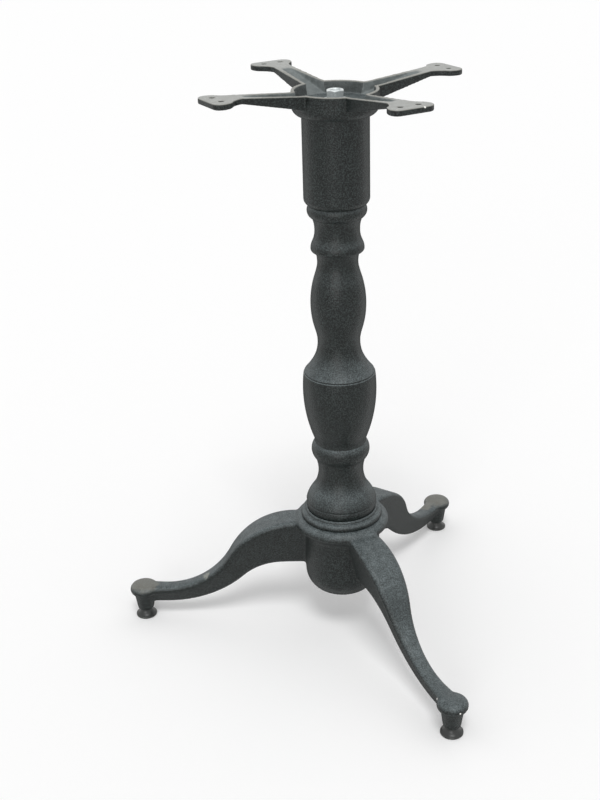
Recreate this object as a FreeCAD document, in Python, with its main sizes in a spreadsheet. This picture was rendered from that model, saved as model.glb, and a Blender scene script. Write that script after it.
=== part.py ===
import FreeCAD, Part
import Sketcher
import math
import os
import re

# Pedestal table base: a cast tripod, a turned hollow column and a four-armed top
# spider, drawn together by one long rod with a nut at each end. Each foot stands
# on a levelling glide that screws into its toe. Millimetres, +Z up, origin on the
# floor on the column's axis, X and Y along the sides of the table top's screw square.

SIZES = {
    # whole
    "overall_height": 720.0,
    "fit_clearance": 0.1,
    # tripod legs, seen from the side: radii from the axis, heights above the floor, and the
    # share of each S-curve that its first bend takes
    "leg_azimuth": -48.0,
    "leg_count": 3,
    "foot_radius": 270.8,
    "leg_root_drop": 13.0,
    "leg_root_radius": 57.0,
    "leg_top_turn": 0.502,
    "leg_toe_height": 48.4,
    "leg_toe_length": 26.8,
    "leg_belly_height": 87.8,
    "leg_belly_radius": 80.5,
    "leg_under_turn": 0.32,
    "leg_sole_height": 22.8,
    "leg_sole_length": 32.8,
    "leg_root_width": 31.0,
    "leg_toe_width": 25.0,
    "leg_side_bulge": 2.0,
    "leg_draft_angle": 9.0,
    "leg_top_rounding": 5.4,
    "leg_under_rounding": 4.0,
    # toes: a rounded pad over a boss that takes the glide's stud
    "toe_crown_rise": 1.6,
    "toe_crown_radius": 12.6,
    "toe_crown_drop": 1.6,
    "toe_crown_bulge": 0.4,
    "toe_side_bulge": 5.7,
    "toe_under_radius": 14.4,
    "toe_under_height": 35.0,
    "boss_top_radius": 14.2,
    "boss_end_radius": 10.8,
    "boss_end_height": 11.0,
    "toe_web": 6.0,
    # tripod hub: drops are measured down from the column's seat
    "seat_height": 171.0,
    "seat_gap": 1.6,
    "rim_rise": 4.0,
    "rim_width": 2.4,
    "rim_drop": 2.6,
    "rim_bulge": 0.6,
    "collar_step": 0.5,
    "collar_rise": 0.6,
    "collar_width": 5.1,
    "collar_drop": 6.2,
    "collar_bulge": 2.2,
    "groove_depth": 0.6,
    "groove_drop": 7.4,
    "shoulder_width": 9.9,
    "shoulder_drop": 15.2,
    "shoulder_bulge": 1.9,
    "shoulder_under_width": 1.8,
    "shoulder_under_drop": 20.5,
    "shoulder_under_bulge": 0.8,
    "cup_top_drop": 32.0,
    "cup_top_hollow": 1.5,
    "cup_radius": 49.4,
    "cup_taper": 1.0,
    "cup_foot_height": 82.0,
    "cup_bottom_height": 58.0,
    "cup_bottom_radius": 36.0,
    "cup_bottom_bulge": 3.2,
    "cup_wall": 7.5,
    "web_thickness": 20.0,
    # column mouldings upward from its foot: radius where each starts, length up the
    # axis, and how far its outline swells between its ends, negative where it is hollow
    "foot_radius_low": 42.6, "foot_length_low": 4.0,
    "foot_bead_radius": 43.4, "foot_bead_length": 11.0, "foot_bead_swell": 1.6,
    "bell_line_radius": 44.2, "bell_line_length": 1.2,
    "bell_radius": 45.3, "bell_length": 19.8, "bell_swell": 2.6,
    "low_neck_radius": 34.2, "low_neck_length": 41.0, "low_neck_swell": -4.3,
    "low_bead_radius": 32.2, "low_bead_length": 23.0, "low_bead_swell": 4.6,
    "low_step_radius": 32.5, "low_step_length": 5.0,
    "low_vase_radius": 33.0, "low_vase_length": 90.0, "low_vase_swell": 5.6,
    "vase_edge_radius": 44.6, "vase_edge_length": 0.8,
    "vase_line_radius": 43.2, "vase_line_length": 1.4,
    "flare_radius": 43.6, "flare_length": 14.0, "flare_swell": -0.4,
    "mid_neck_radius": 33.0, "mid_neck_length": 44.8, "mid_neck_swell": -5.2,
    "high_vase_radius": 30.0, "high_vase_length": 71.3, "high_vase_swell": 5.5,
    "high_neck_radius": 26.4, "high_neck_length": 24.0, "high_neck_swell": -1.9,
    "bead_step_radius": 26.6, "bead_step_length": 0.5,
    "high_bead_radius": 28.4, "high_bead_length": 18.0, "high_bead_swell": 4.0,
    "cove_radius": 28.6, "cove_length": 24.0, "cove_swell": -2.3,
    "cove_step_radius": 30.0, "cove_step_length": 0.5,
    "cap_bead_radius": 31.2, "cap_bead_length": 14.5, "cap_bead_swell": 3.2,
    "cap_line_radius": 33.4, "cap_line_length": 1.2,
    "cylinder_edge_radius": 34.6, "cylinder_edge_length": 7.8, "cylinder_edge_swell": 1.3,
    "cylinder_radius": 39.0,
    # column core upward from its foot
    "core_mouth_radius": 38.5,
    "core_mouth_length": 12.0,
    "core_bell_length": 26.0,
    "core_neck_radius": 19.5,
    "core_low_neck_length": 57.0,
    "core_rise_length": 50.0,
    "core_belly_radius": 38.5,
    "core_belly_length": 38.0,
    "core_fall_length": 32.0,
    "core_high_neck_length": 184.0,
    "core_cap_length": 28.0,
    "core_top_radius": 33.0,
    # top spider: depths are measured down from the table top's plane
    "arm_azimuth": 45.0,
    "arm_count": 4,
    "spider_depth": 35.5,
    "spider_overhang": 1.2,
    "hub_radius": 50.0,
    "hub_corner_depth": 26.0,
    "hub_corner_bulge": 2.4,
    "hub_rim_depth": 7.0,
    "hub_wall": 3.8,
    "well_depth": 21.0,
    "well_taper": 2.7,
    "spigot_length": 6.0,
    "spigot_wall": 6.0,
    "spigot_clearance": 0.3,
    "spider_floor": 9.0,
    "arm_root_width": 34.4,
    "arm_neck_width": 23.0,
    "arm_root_depth": 22.5,
    "arm_hub_wall": 3.4,
    "arm_neck_wall": 6.3,
    "channel_setback": 0.7,
    "channel_run_in": 1.4,
    "screw_radius": 147.4,
    "screw_spacing": 22.4,
    "screw_hole_diameter": 6.5,
    "pad_thickness": 6.9,
    "pad_end_margin": 13.6,
    "pad_side_margin": 15.3,
    "pad_corner_margin": 3.1,
    "pad_flare_setback": 7.4,
    "pad_neck_setback": 25.4,
    "pad_flare_taper": 3.5,
    "pad_flare_hollow": 2.4,
    "pad_side_bulge": 0.7,
    "pad_corner_cut": 9.0,
    "pad_corner_bulge": 2.6,
    # rod, nuts and washers
    "rod_diameter": 12.0,
    "rod_hole_diameter": 14.0,
    "rod_recess": 1.3,
    "rod_projection": 3.5,
    "rod_chamfer": 1.0,
    "nut_azimuth": 44.0,
    "nut_across_flats": 19.0,
    "nut_height": 10.8,
    "nut_chamfer": 1.25,
    "nut_face_diameter": 17.6,
    "washer_diameter": 31.0,
    "washer_thickness": 2.5,
    "washer_hole_diameter": 13.5,
    # levelling glides
    "glide_diameter": 28.0,
    "glide_rim_height": 2.4,
    "glide_shelf_width": 1.6,
    "glide_cone_height": 3.2,
    "glide_neck_radius": 8.0,
    "glide_neck_height": 1.4,
    "glide_cone_hollow": 0.8,
    "glide_gap": 0.6,
    "glide_floor": 2.5,
    "stud_diameter": 8.0,
    "stud_engagement": 27.0,
    "stud_chamfer": 1.0,
}

COLUMN_MOULDINGS = [
    "foot_bead", "bell_line", "bell", "low_neck", "low_bead", "low_step", "low_vase", "vase_edge",
    "vase_line", "flare", "mid_neck", "high_vase", "high_neck", "bead_step", "high_bead", "cove",
    "cove_step", "cap_bead", "cap_line", "cylinder_edge",
]

SEAT_RADIUS = "(foot_radius_low + seat_gap)"
COLUMN_TOP = "(overall_height - spider_depth)"
WELL_FLOOR = "(overall_height - well_depth)"
WEB_UNDER = "(seat_height - web_thickness)"
HUB_RIM = "(overall_height - hub_rim_depth)"
ARM_NECK = "(screw_radius - pad_neck_setback)"
ARM_END = "(screw_radius + pad_end_margin)"
TOP_NUT_LOW = f"({WELL_FLOOR} + washer_thickness)"
BOTTOM_NUT_LOW = f"({WEB_UNDER} - washer_thickness - nut_height)"
ROD_LOW = f"({BOTTOM_NUT_LOW} - rod_projection)"
ROD_HIGH = f"({TOP_NUT_LOW} + nut_height - rod_recess)"

doc = FreeCAD.newDocument("pedestal_table_base")


def make_sheet():
    """Puts every size into the sheet, under its own name."""
    sheet = doc.addObject("Spreadsheet::Sheet", "dims")
    for row, (name, size) in enumerate(SIZES.items(), start=1):
        sheet.set(f"A{row}", name)
        sheet.set(f"B{row}", str(size))
        sheet.setAlias(f"B{row}", name)
    doc.recompute()
    return sheet


sheet = make_sheet()


def cells(text):
    """Points every size name in an expression at its cell."""
    return re.sub(r"[a-z]+_\w+", lambda word: "dims." + word.group(), text)


def number(text):
    """The value of an expression, for a sketch's first drawing."""
    return float(sheet.evalExpression(cells(text)))


def origin_plane(body, role):
    """The body's own origin plane with that role."""
    return next(item for item in body.Origin.OriginFeatures if item.Role == role)


def make_body(label, azimuth=None):
    """An empty body, turned about the column's axis if an azimuth is given."""
    body = doc.addObject("PartDesign::Body", label)
    body.Label = label
    if azimuth:
        upward = FreeCAD.Rotation(FreeCAD.Vector(0, 0, 1), 1)
        body.Placement = FreeCAD.Placement(FreeCAD.Vector(), upward)
        body.setExpression("Placement.Rotation.Angle", cells(azimuth) + " * 1 deg")
    return body


def make_sketch(body, name, role, shift=None):
    """A sketch on one of the body's origin planes, shifted in the plane's own axes."""
    sketch = body.newObject("Sketcher::SketchObject", name)
    sketch.AttachmentSupport = (origin_plane(body, role), [""])
    sketch.MapMode = "FlatFace"
    for axis, text in (shift or {}).items():
        sketch.setExpression(f"AttachmentOffset.Base.{axis}", cells(text))
    return sketch


def bind(sketch, kind, places, text):
    """A dimension in the sketch that follows an expression."""
    index = sketch.addConstraint(Sketcher.Constraint(kind, *places, number(text)))
    sketch.setExpression(f"Constraints[{index}]", cells(text))


def bind_point(sketch, place, across, up):
    """Holds one end of a line or arc at two expressions."""
    if across == "0":
        sketch.addConstraint(Sketcher.Constraint("PointOnObject", *place, -2))
    else:
        bind(sketch, "DistanceX", (-1, 1, *place), across)
    if up == "0":
        sketch.addConstraint(Sketcher.Constraint("PointOnObject", *place, -1))
    else:
        bind(sketch, "DistanceY", (-1, 1, *place), up)


def end_near(sketch, edge, point):
    """The end of a drawn line or arc that lies at a point: 1 is its start, 2 its finish."""
    start = sketch.getPoint(edge, 1)
    finish = sketch.getPoint(edge, 2)
    return 1 if start.distanceToPoint(point) < finish.distanceToPoint(point) else 2


def draw_outline(sketch, points):
    """Draws a closed outline from points (across, up, bulge).

    A bulge is the height of an arc over the chord to the next point, positive to
    the right of the way there. Without one the way is a straight line.
    """
    corners = [FreeCAD.Vector(number(point[0]), number(point[1]), 0) for point in points]
    edges = []
    for index, point in enumerate(points):
        here = corners[index]
        there = corners[(index + 1) % len(points)]
        if len(point) < 3:
            edges.append(sketch.addGeometry(Part.LineSegment(here, there)))
            continue
        chord = there - here
        right = FreeCAD.Vector(chord.y, -chord.x, 0).normalize()
        middle = (here + there) / 2 + right * number(point[2])
        edges.append(sketch.addGeometry(Part.Arc(here, middle, there)))
    for index, point in enumerate(points):
        edge = edges[index]
        before = edges[index - 1]
        here = corners[index]
        place = (edge, end_near(sketch, edge, here))
        meeting = (before, end_near(sketch, before, here))
        sketch.addConstraint(Sketcher.Constraint("Coincident", *meeting, *place))
        bind_point(sketch, place, point[0], point[1])
    for index, point in enumerate(points):
        if len(point) == 3:
            following = points[(index + 1) % len(points)]
            across = f"(({following[0]}) - ({point[0]}))"
            up = f"(({following[1]}) - ({point[1]}))"
            bulge = f"abs({point[2]})"
            bind(sketch, "Radius", (edges[index],), f"({across}^2 + {up}^2) / (8 * {bulge}) + {bulge} / 2")


def draw_circle(sketch, across, up, radius):
    """Draws a circle with its centre and radius bound."""
    centre = FreeCAD.Vector(number(across), number(up), 0)
    edge = sketch.addGeometry(Part.Circle(centre, FreeCAD.Vector(0, 0, 1), number(radius)))
    bind_point(sketch, (edge, 3), across, up)
    bind(sketch, "Radius", (edge,), radius)


def volume_of(body):
    """The body's volume so far."""
    doc.recompute()
    return body.Tip.Shape.Volume if body.Tip and not body.Tip.Shape.isNull() else 0.0


def add_feature(body, kind, name, sketch, **settings):
    """Adds a feature on a sketch, and stops if it leaves the body's volume as it was."""
    before = volume_of(body)
    feature = body.newObject(kind, name)
    feature.Profile = sketch
    for key, value in settings.items():
        setattr(feature, key, value)
    after = volume_of(body)
    grows = kind in ("PartDesign::Pad", "PartDesign::Revolution")
    if abs(after - before) < 1e-3 or (after > before) != grows:
        raise RuntimeError(f"{name} changes the volume from {before:.0f} to {after:.0f}")
    return feature


def turn(body, kind, name, sketch):
    """A full revolution or groove about the sketch's upright axis."""
    return add_feature(body, kind, name, sketch, ReferenceAxis=(sketch, ["V_Axis"]), Angle=360.0)


def turned(body, kind, name, points, shift=None):
    """A full revolution or groove of an outline on the body's XZ plane."""
    sketch = make_sketch(body, name + "_outline", "XZ_Plane", shift)
    draw_outline(sketch, points)
    return turn(body, kind, name, sketch)


def repeat_round(body, name, feature, count, mode):
    """Repeats a feature, or the whole body, evenly round the column's axis."""
    pattern = body.newObject("PartDesign::PolarPattern", name)
    pattern.Originals = [feature]
    pattern.TransformMode = mode
    pattern.Axis = (next(item for item in body.Origin.OriginFeatures if item.Role == "Z_Axis"), [""])
    pattern.Angle = 360.0
    pattern.setExpression("Occurrences", cells(count))
    body.Tip = pattern
    doc.recompute()
    return pattern


def add_pad(body, name, sketch, thickness):
    """Thickens an outline evenly to both sides."""
    pad = body.newObject("PartDesign::Pad", name)
    pad.Profile = sketch
    pad.SideType = "Symmetric"
    pad.setExpression("Length", cells(thickness))
    doc.recompute()
    return pad


def bore_through(body, name, diameter, low, high):
    """A round hole on the column's axis between two heights."""
    turned(body, "PartDesign::Groove", name, [
        ("0", low),
        (f"{diameter} / 2", low),
        (f"{diameter} / 2", high),
        ("0", high),
    ])


def round_edges(body, name, edge_names, radius):
    """Rounds the named edges of the body as it stands."""
    base = body.Tip
    feature = body.newObject("PartDesign::Fillet", name)
    feature.Base = (base, edge_names)
    feature.setExpression("Radius", cells(radius))
    doc.recompute()
    return feature


def joins_upward(shape, edge):
    """Whether a face at an edge looks up (1) or down (-1) there, or neither does (0)."""
    point = edge.valueAt((edge.FirstParameter + edge.LastParameter) / 2)
    for face in shape.ancestorsOfType(edge, Part.Face):
        upward = face.normalAt(*face.Surface.parameter(point)).z
        if abs(upward) > 0.3:
            return math.copysign(1, upward)
    return 0


def leg_rims(shape, side):
    """The edges along the leg's two sides, on its upper (1) or under (-1) face."""
    names = []
    for index, edge in enumerate(shape.Edges, start=1):
        first, last = edge.Vertexes[0], edge.Vertexes[-1]
        runs_out = abs(first.X - last.X) > 1.0 and abs(first.Y) > 1.0
        if runs_out and joins_upward(shape, edge) == side:
            names.append(f"Edge{index}")
    return names


def s_curve(sketch, start, finish, turn_share):
    """Draws two arcs that run smoothly from one level end down to another.

    The first arc takes its share of the way, along the straight line between the ends. Two
    such arcs have radii that add up to that line's square over twice the drop.
    """
    across = f"(({finish[0]}) - ({start[0]}))"
    drop = f"(({start[1]}) - ({finish[1]}))"
    both_radii = f"(({across}^2 + {drop}^2) / (2 * {drop}))"
    first = number(f"{turn_share} * {both_radii}")
    second = number(both_radii) - first
    high = FreeCAD.Vector(number(start[0]), number(start[1]), 0)
    low = FreeCAD.Vector(number(finish[0]), number(finish[1]), 0)
    meeting = high + (low - high) * number(turn_share)
    half_slope = math.atan2(high.y - low.y, low.x - high.x)
    half_turn = FreeCAD.Vector(math.sin(half_slope), math.cos(half_slope), 0)
    over = FreeCAD.Vector(high.x, high.y - first, 0) + half_turn * first
    under = FreeCAD.Vector(low.x, low.y + second, 0) - half_turn * second
    down = sketch.addGeometry(Part.Arc(high, over, meeting))
    up = sketch.addGeometry(Part.Arc(meeting, under, low))
    bind(sketch, "Radius", (down,), f"{turn_share} * {both_radii}")
    join(sketch, "Tangent", down, up, meeting)
    return down, up


def join(sketch, kind, before, after, point):
    """Joins two drawn edges at a point, meeting there or running smoothly on."""
    places = (before, end_near(sketch, before, point), after, end_near(sketch, after, point))
    sketch.addConstraint(Sketcher.Constraint(kind, *places))


def draw_leg_side(sketch):
    """The leg seen from the side: two S-curves joined by level and upright lines."""
    places = {
        "root_inner": ("0", "seat_height - leg_root_drop"),
        "root": ("leg_root_radius", "seat_height - leg_root_drop"),
        "toe": ("foot_radius - leg_toe_length", "leg_toe_height"),
        "toe_end": ("foot_radius", "leg_toe_height"),
        "sole_end": ("foot_radius", "leg_sole_height"),
        "sole": ("foot_radius - leg_sole_length", "leg_sole_height"),
        "belly": ("leg_belly_radius", "leg_belly_height"),
        "belly_inner": ("0", "leg_belly_height"),
    }
    points = {name: FreeCAD.Vector(number(x), number(y), 0) for name, (x, y) in places.items()}

    def line(start, finish, kind):
        edge = sketch.addGeometry(Part.LineSegment(points[start], points[finish]))
        sketch.addConstraint(Sketcher.Constraint(kind, edge))
        return edge

    root = line("root_inner", "root", "Horizontal")
    top_down, top_level = s_curve(sketch, places["root"], places["toe"], "leg_top_turn")
    toe = line("toe", "toe_end", "Horizontal")
    tip = line("toe_end", "sole_end", "Vertical")
    sole = line("sole_end", "sole", "Horizontal")
    under_down, under_level = s_curve(sketch, places["belly"], places["sole"], "leg_under_turn")
    belly = line("belly", "belly_inner", "Horizontal")
    inner = line("belly_inner", "root_inner", "Vertical")
    smooth = [
        (root, top_down, "root"),
        (top_level, toe, "toe"),
        (sole, under_level, "sole"),
        (under_down, belly, "belly"),
    ]
    corners = [
        (toe, tip, "toe_end"),
        (tip, sole, "sole_end"),
        (belly, inner, "belly_inner"),
        (inner, root, "root_inner"),
    ]
    for kind, joints in (("Tangent", smooth), ("Coincident", corners)):
        for before, after, name in joints:
            join(sketch, kind, before, after, points[name])
    bind_point(sketch, (root, 1), *places["root_inner"])
    bind_point(sketch, (toe, 1), *places["toe"])
    bind_point(sketch, (sole, 2), *places["sole"])
    bind_point(sketch, (belly, 1), *places["belly"])
    bind(sketch, "DistanceX", (-1, 1, root, 2), places["root"][0])
    bind(sketch, "DistanceX", (-1, 1, toe, 2), "foot_radius")


def add_leg(body):
    """One leg along +X: its side outline thickened, its sides drafted, its long edges rounded.

    Seen from above each side is one shallow bow from the axis to the foot's axis. It leans in
    as it falls, so the leg narrows downward and its underside is narrower than its top.
    """
    side = make_sketch(body, "leg_side", "XZ_Plane")
    draw_leg_side(side)
    fall = "(seat_height - leg_root_drop - leg_toe_height)"
    far_half_width = f"(leg_toe_width / 2 + {fall} * tan(leg_draft_angle * 1 deg))"
    bar_width = f"(leg_root_width + 2 * {far_half_width})"
    add_pad(body, "leg_bar", side, bar_width)
    plan = make_sketch(body, "leg_plan", "XY_Plane", {"z": "seat_height - leg_root_drop"})
    for sign, bulge in (("", "-leg_side_bulge"), ("-", "leg_side_bulge")):
        draw_outline(plan, [
            ("0", f"{sign}leg_root_width / 2", bulge),
            ("foot_radius", f"{sign}{far_half_width}"),
            ("foot_radius", f"{sign}{bar_width}"),
            ("0", f"{sign}{bar_width}"),
        ])
    sides = add_feature(body, "PartDesign::Pocket", "leg_sides", plan, Length=number("seat_height"))
    sides.setExpression("Length", "dims.seat_height")
    sides.setExpression("TaperAngle", "dims.leg_draft_angle * 1 deg")
    doc.recompute()
    round_edges(body, "leg_top_edges", leg_rims(body.Tip.Shape, 1), "leg_top_rounding")
    round_edges(body, "leg_under_edges", leg_rims(body.Tip.Shape, -1), "leg_under_rounding")


def add_toe(body):
    """The toe's rounded pad and its boss, turned about the foot's axis, and the bore for the stud."""
    foot_axis = {"x": "foot_radius"}
    crown = "(leg_toe_height + toe_crown_rise)"
    turned(body, "PartDesign::Revolution", "toe", [
        ("0", "boss_end_height"),
        ("boss_end_radius", "boss_end_height"),
        ("boss_top_radius", "toe_under_height"),
        ("toe_under_radius", "toe_under_height", "toe_side_bulge"),
        ("toe_crown_radius", f"{crown} - toe_crown_drop", "toe_crown_bulge"),
        ("0", crown),
    ], foot_axis)
    bore = "stud_diameter / 2 + fit_clearance"
    turned(body, "PartDesign::Groove", "stud_bore", [
        ("0", "boss_end_height"),
        (bore, "boss_end_height"),
        (bore, f"{crown} - toe_web"),
        ("0", f"{crown} - toe_web"),
    ], foot_axis)


def build_tripod():
    """Three legs on a turned hub that is hollow from below."""
    body = make_body("tripod_base", "leg_azimuth")
    add_leg(body)
    add_toe(body)
    repeat_round(body, "legs", body.Tip, "leg_count", "Whole shape")
    rim_radius = f"({SEAT_RADIUS} + rim_width)"
    collar_radius = f"({rim_radius} + collar_step)"
    groove_radius = f"({collar_radius} + collar_width - groove_depth)"
    shoulder_radius = f"({groove_radius} + shoulder_width)"
    under_radius = f"({shoulder_radius} - shoulder_under_width)"
    turned(body, "PartDesign::Revolution", "hub", [
        ("0", "cup_bottom_height"),
        ("cup_bottom_radius", "cup_bottom_height", "cup_bottom_bulge"),
        ("cup_radius - cup_taper", "cup_foot_height"),
        ("cup_radius", "seat_height - cup_top_drop", "-cup_top_hollow"),
        (under_radius, "seat_height - shoulder_under_drop", "shoulder_under_bulge"),
        (shoulder_radius, "seat_height - shoulder_drop", "shoulder_bulge"),
        (groove_radius, "seat_height - groove_drop"),
        (f"{collar_radius} + collar_width", "seat_height - collar_drop", "collar_bulge"),
        (collar_radius, "seat_height + collar_rise"),
        (rim_radius, "seat_height + rim_rise - rim_drop", "rim_bulge"),
        (SEAT_RADIUS, "seat_height + rim_rise"),
        (SEAT_RADIUS, "seat_height"),
        ("0", "seat_height"),
    ])
    turned(body, "PartDesign::Groove", "hub_core", [
        ("0", "cup_bottom_height"),
        ("cup_bottom_radius - cup_wall", "cup_bottom_height"),
        ("cup_radius - cup_taper - cup_wall", "cup_foot_height"),
        ("cup_radius - cup_taper - cup_wall", WEB_UNDER),
        ("0", WEB_UNDER),
    ])
    bore_through(body, "rod_hole", "rod_hole_diameter", WEB_UNDER, "seat_height")
    return body


def build_column():
    """The hollow column: its mouldings turned outside, its core following them inside."""
    body = make_body("column")
    height = "seat_height"
    outline = [("core_mouth_radius", height), ("foot_radius_low", height)]
    height += " + foot_length_low"
    for name in COLUMN_MOULDINGS:
        swell = (f"{name}_swell",) if f"{name}_swell" in SIZES else ()
        outline.append((f"{name}_radius", height, *swell))
        height += f" + {name}_length"
    outline.append(("cylinder_radius", height))
    outline.append(("cylinder_radius", COLUMN_TOP))
    core = []
    height = "seat_height"
    for radius, length in (
        ("core_mouth_radius", "core_mouth_length"),
        ("core_neck_radius", "core_bell_length"),
        ("core_neck_radius", "core_low_neck_length"),
        ("core_belly_radius", "core_rise_length"),
        ("core_belly_radius", "core_belly_length"),
        ("core_neck_radius", "core_fall_length"),
        ("core_neck_radius", "core_high_neck_length"),
        ("core_top_radius", "core_cap_length"),
    ):
        height += f" + {length}"
        core.append((radius, height))
    core.append(("core_top_radius", COLUMN_TOP))
    turned(body, "PartDesign::Revolution", "column_casting", outline + core[::-1])
    return body


def draw_arm_plan(sketch):
    """The arm and its pad seen from above: out along one side and back along the other."""
    half_pad = "(screw_spacing / 2 + pad_side_margin)"
    side = [
        ("0", "arm_root_width / 2"),
        (ARM_NECK, "arm_neck_width / 2"),
        ("screw_radius - pad_flare_setback", f"{half_pad} - pad_flare_taper"),
        ("screw_radius + pad_corner_margin", half_pad),
        (ARM_END, f"{half_pad} - pad_corner_cut"),
    ]
    bulges = [(), ("-pad_flare_hollow",), ("pad_side_bulge",), ("pad_corner_bulge",)]
    out = [(across, f"-({up})", *bulge) for (across, up), bulge in zip(side, bulges + [()])]
    back = [(across, up, *bulge) for (across, up), bulge in zip(side[::-1], bulges[::-1] + [()])]
    draw_outline(sketch, out + back)


def add_arm(body):
    """One arm along +X with its pad and screw holes: the side outline thickened, then trimmed in plan."""
    side = make_sketch(body, "arm_side", "XZ_Plane")
    draw_outline(side, [
        ("0", "overall_height - arm_root_depth"),
        ("hub_radius", "overall_height - arm_root_depth"),
        (ARM_NECK, "overall_height - pad_thickness"),
        (ARM_END, "overall_height - pad_thickness"),
        (ARM_END, "overall_height"),
        (ARM_NECK, "overall_height"),
        ("hub_radius", HUB_RIM),
        ("0", HUB_RIM),
    ])
    add_pad(body, "arm_bar", side, "screw_spacing + 2 * pad_side_margin + 2 * pad_side_bulge")
    trim = make_sketch(body, "arm_plan", "XY_Plane", {"z": "overall_height"})
    draw_outline(trim, [
        ("-hub_radius", "-hub_radius"),
        ("2 * screw_radius", "-hub_radius"),
        ("2 * screw_radius", "hub_radius"),
        ("-hub_radius", "hub_radius"),
    ])
    draw_arm_plan(trim)
    add_feature(body, "PartDesign::Pocket", "arm_trim", trim, Type="ThroughAll", SideType="Symmetric")
    screws = make_sketch(body, "arm_screws", "XY_Plane", {"z": "overall_height"})
    for sign in ("", "-"):
        draw_circle(screws, "screw_radius", f"{sign}screw_spacing / 2", "screw_hole_diameter / 2")
    add_feature(body, "PartDesign::Pocket", "screw_holes", screws, Type="ThroughAll", SideType="Symmetric")


def add_channels(body):
    """The open channel in each arm: its floor falls from the pad's neck to the floor of the well."""
    inner = "(hub_radius - hub_wall - well_taper - channel_run_in)"
    outer = f"({ARM_NECK} - channel_setback)"
    arm_width = f"(arm_root_width - (arm_root_width - arm_neck_width) * {inner} / {ARM_NECK})"
    inner_width = f"({arm_width} - 2 * arm_hub_wall)"
    sections = []
    for name, place, width, floor in (
        ("channel_inner", inner, inner_width, WELL_FLOOR),
        ("channel_outer", outer, "(arm_neck_width - 2 * arm_neck_wall)", "overall_height"),
    ):
        sketch = make_sketch(body, name, "YZ_Plane", {"z": place})
        draw_outline(sketch, [
            (f"-{width} / 2", floor),
            (f"{width} / 2", floor),
            (f"{width} / 2", "overall_height + pad_thickness"),
            (f"-{width} / 2", "overall_height + pad_thickness"),
        ])
        sections.append(sketch)
    near, far = sections
    channel = add_feature(body, "PartDesign::SubtractiveLoft", "channel", near, Sections=[far], Ruled=True)
    repeat_round(body, "channels", channel, "arm_count", "Features")


def build_spider():
    """Four channelled arms round a cup that sits on the column, with a spigot down its core."""
    body = make_body("top_spider", "arm_azimuth")
    add_arm(body)
    repeat_round(body, "arms", body.Tip, "arm_count", "Whole shape")
    spigot_radius = "(core_top_radius - spigot_clearance)"
    spigot_end = f"({COLUMN_TOP} - spigot_length)"
    turned(body, "PartDesign::Revolution", "cup", [
        ("0", spigot_end),
        (spigot_radius, spigot_end),
        (spigot_radius, COLUMN_TOP),
        ("cylinder_radius + spider_overhang", COLUMN_TOP, "hub_corner_bulge"),
        ("hub_radius", "overall_height - hub_corner_depth"),
        ("hub_radius", HUB_RIM),
        ("0", HUB_RIM),
    ])
    turned(body, "PartDesign::Groove", "well", [
        ("0", WELL_FLOOR),
        ("hub_radius - hub_wall - well_taper", WELL_FLOOR),
        ("hub_radius - hub_wall", HUB_RIM),
        ("0", HUB_RIM),
    ])
    add_channels(body)
    turned(body, "PartDesign::Groove", "cup_core", [
        ("0", spigot_end),
        (f"{spigot_radius} - spigot_wall", spigot_end),
        (f"{spigot_radius} - spigot_wall", f"{WELL_FLOOR} - spider_floor"),
        ("0", f"{WELL_FLOOR} - spider_floor"),
    ])
    bore_through(body, "spider_rod_hole", "rod_hole_diameter", f"{WELL_FLOOR} - spider_floor", WELL_FLOOR)
    return body


def build_rod():
    """The long rod, its ends chamfered."""
    body = make_body("tie_rod")
    radius = "rod_diameter / 2"
    turned(body, "PartDesign::Revolution", "rod", [
        ("0", ROD_LOW),
        (f"{radius} - rod_chamfer", ROD_LOW),
        (radius, f"{ROD_LOW} + rod_chamfer"),
        (radius, f"{ROD_HIGH} - rod_chamfer"),
        (f"{radius} - rod_chamfer", ROD_HIGH),
        ("0", ROD_HIGH),
    ])
    return body


def build_washer(label, low):
    """A plain washer lying on a height."""
    body = make_body(label)
    turned(body, "PartDesign::Revolution", label + "_ring", [
        ("washer_hole_diameter / 2", low),
        ("washer_diameter / 2", low),
        ("washer_diameter / 2", f"{low} + washer_thickness"),
        ("washer_hole_diameter / 2", f"{low} + washer_thickness"),
    ])
    return body


def build_nut(label, low, chamfered, inward):
    """A hexagonal nut over a height, its outer face chamfered at the height given.

    The chamfer is a cone from the face's edge that has fallen by its full depth at the corners.
    """
    body = make_body(label, "nut_azimuth")
    corner = "nut_across_flats / sqrt(3)"
    flat = "nut_across_flats / 2"
    hexagon = make_sketch(body, label + "_hexagon", "XY_Plane", {"z": low})
    draw_outline(hexagon, [
        (corner, "0"),
        (f"{corner} / 2", flat),
        (f"-{corner} / 2", flat),
        (f"-{corner}", "0"),
        (f"-{corner} / 2", f"-{flat}"),
        (f"{corner} / 2", f"-{flat}"),
    ])
    prism = body.newObject("PartDesign::Pad", label + "_prism")
    prism.Profile = hexagon
    prism.setExpression("Length", cells("nut_height"))
    beyond = f"2 * {corner} - nut_face_diameter / 2"
    turned(body, "PartDesign::Groove", label + "_chamfer", [
        ("nut_face_diameter / 2", chamfered),
        (beyond, chamfered),
        (beyond, f"{chamfered} + {inward} * 2 * nut_chamfer"),
    ])
    bore_through(body, label + "_bore", "(rod_diameter + 2 * fit_clearance)", low, f"{low} + nut_height")
    return body


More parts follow.
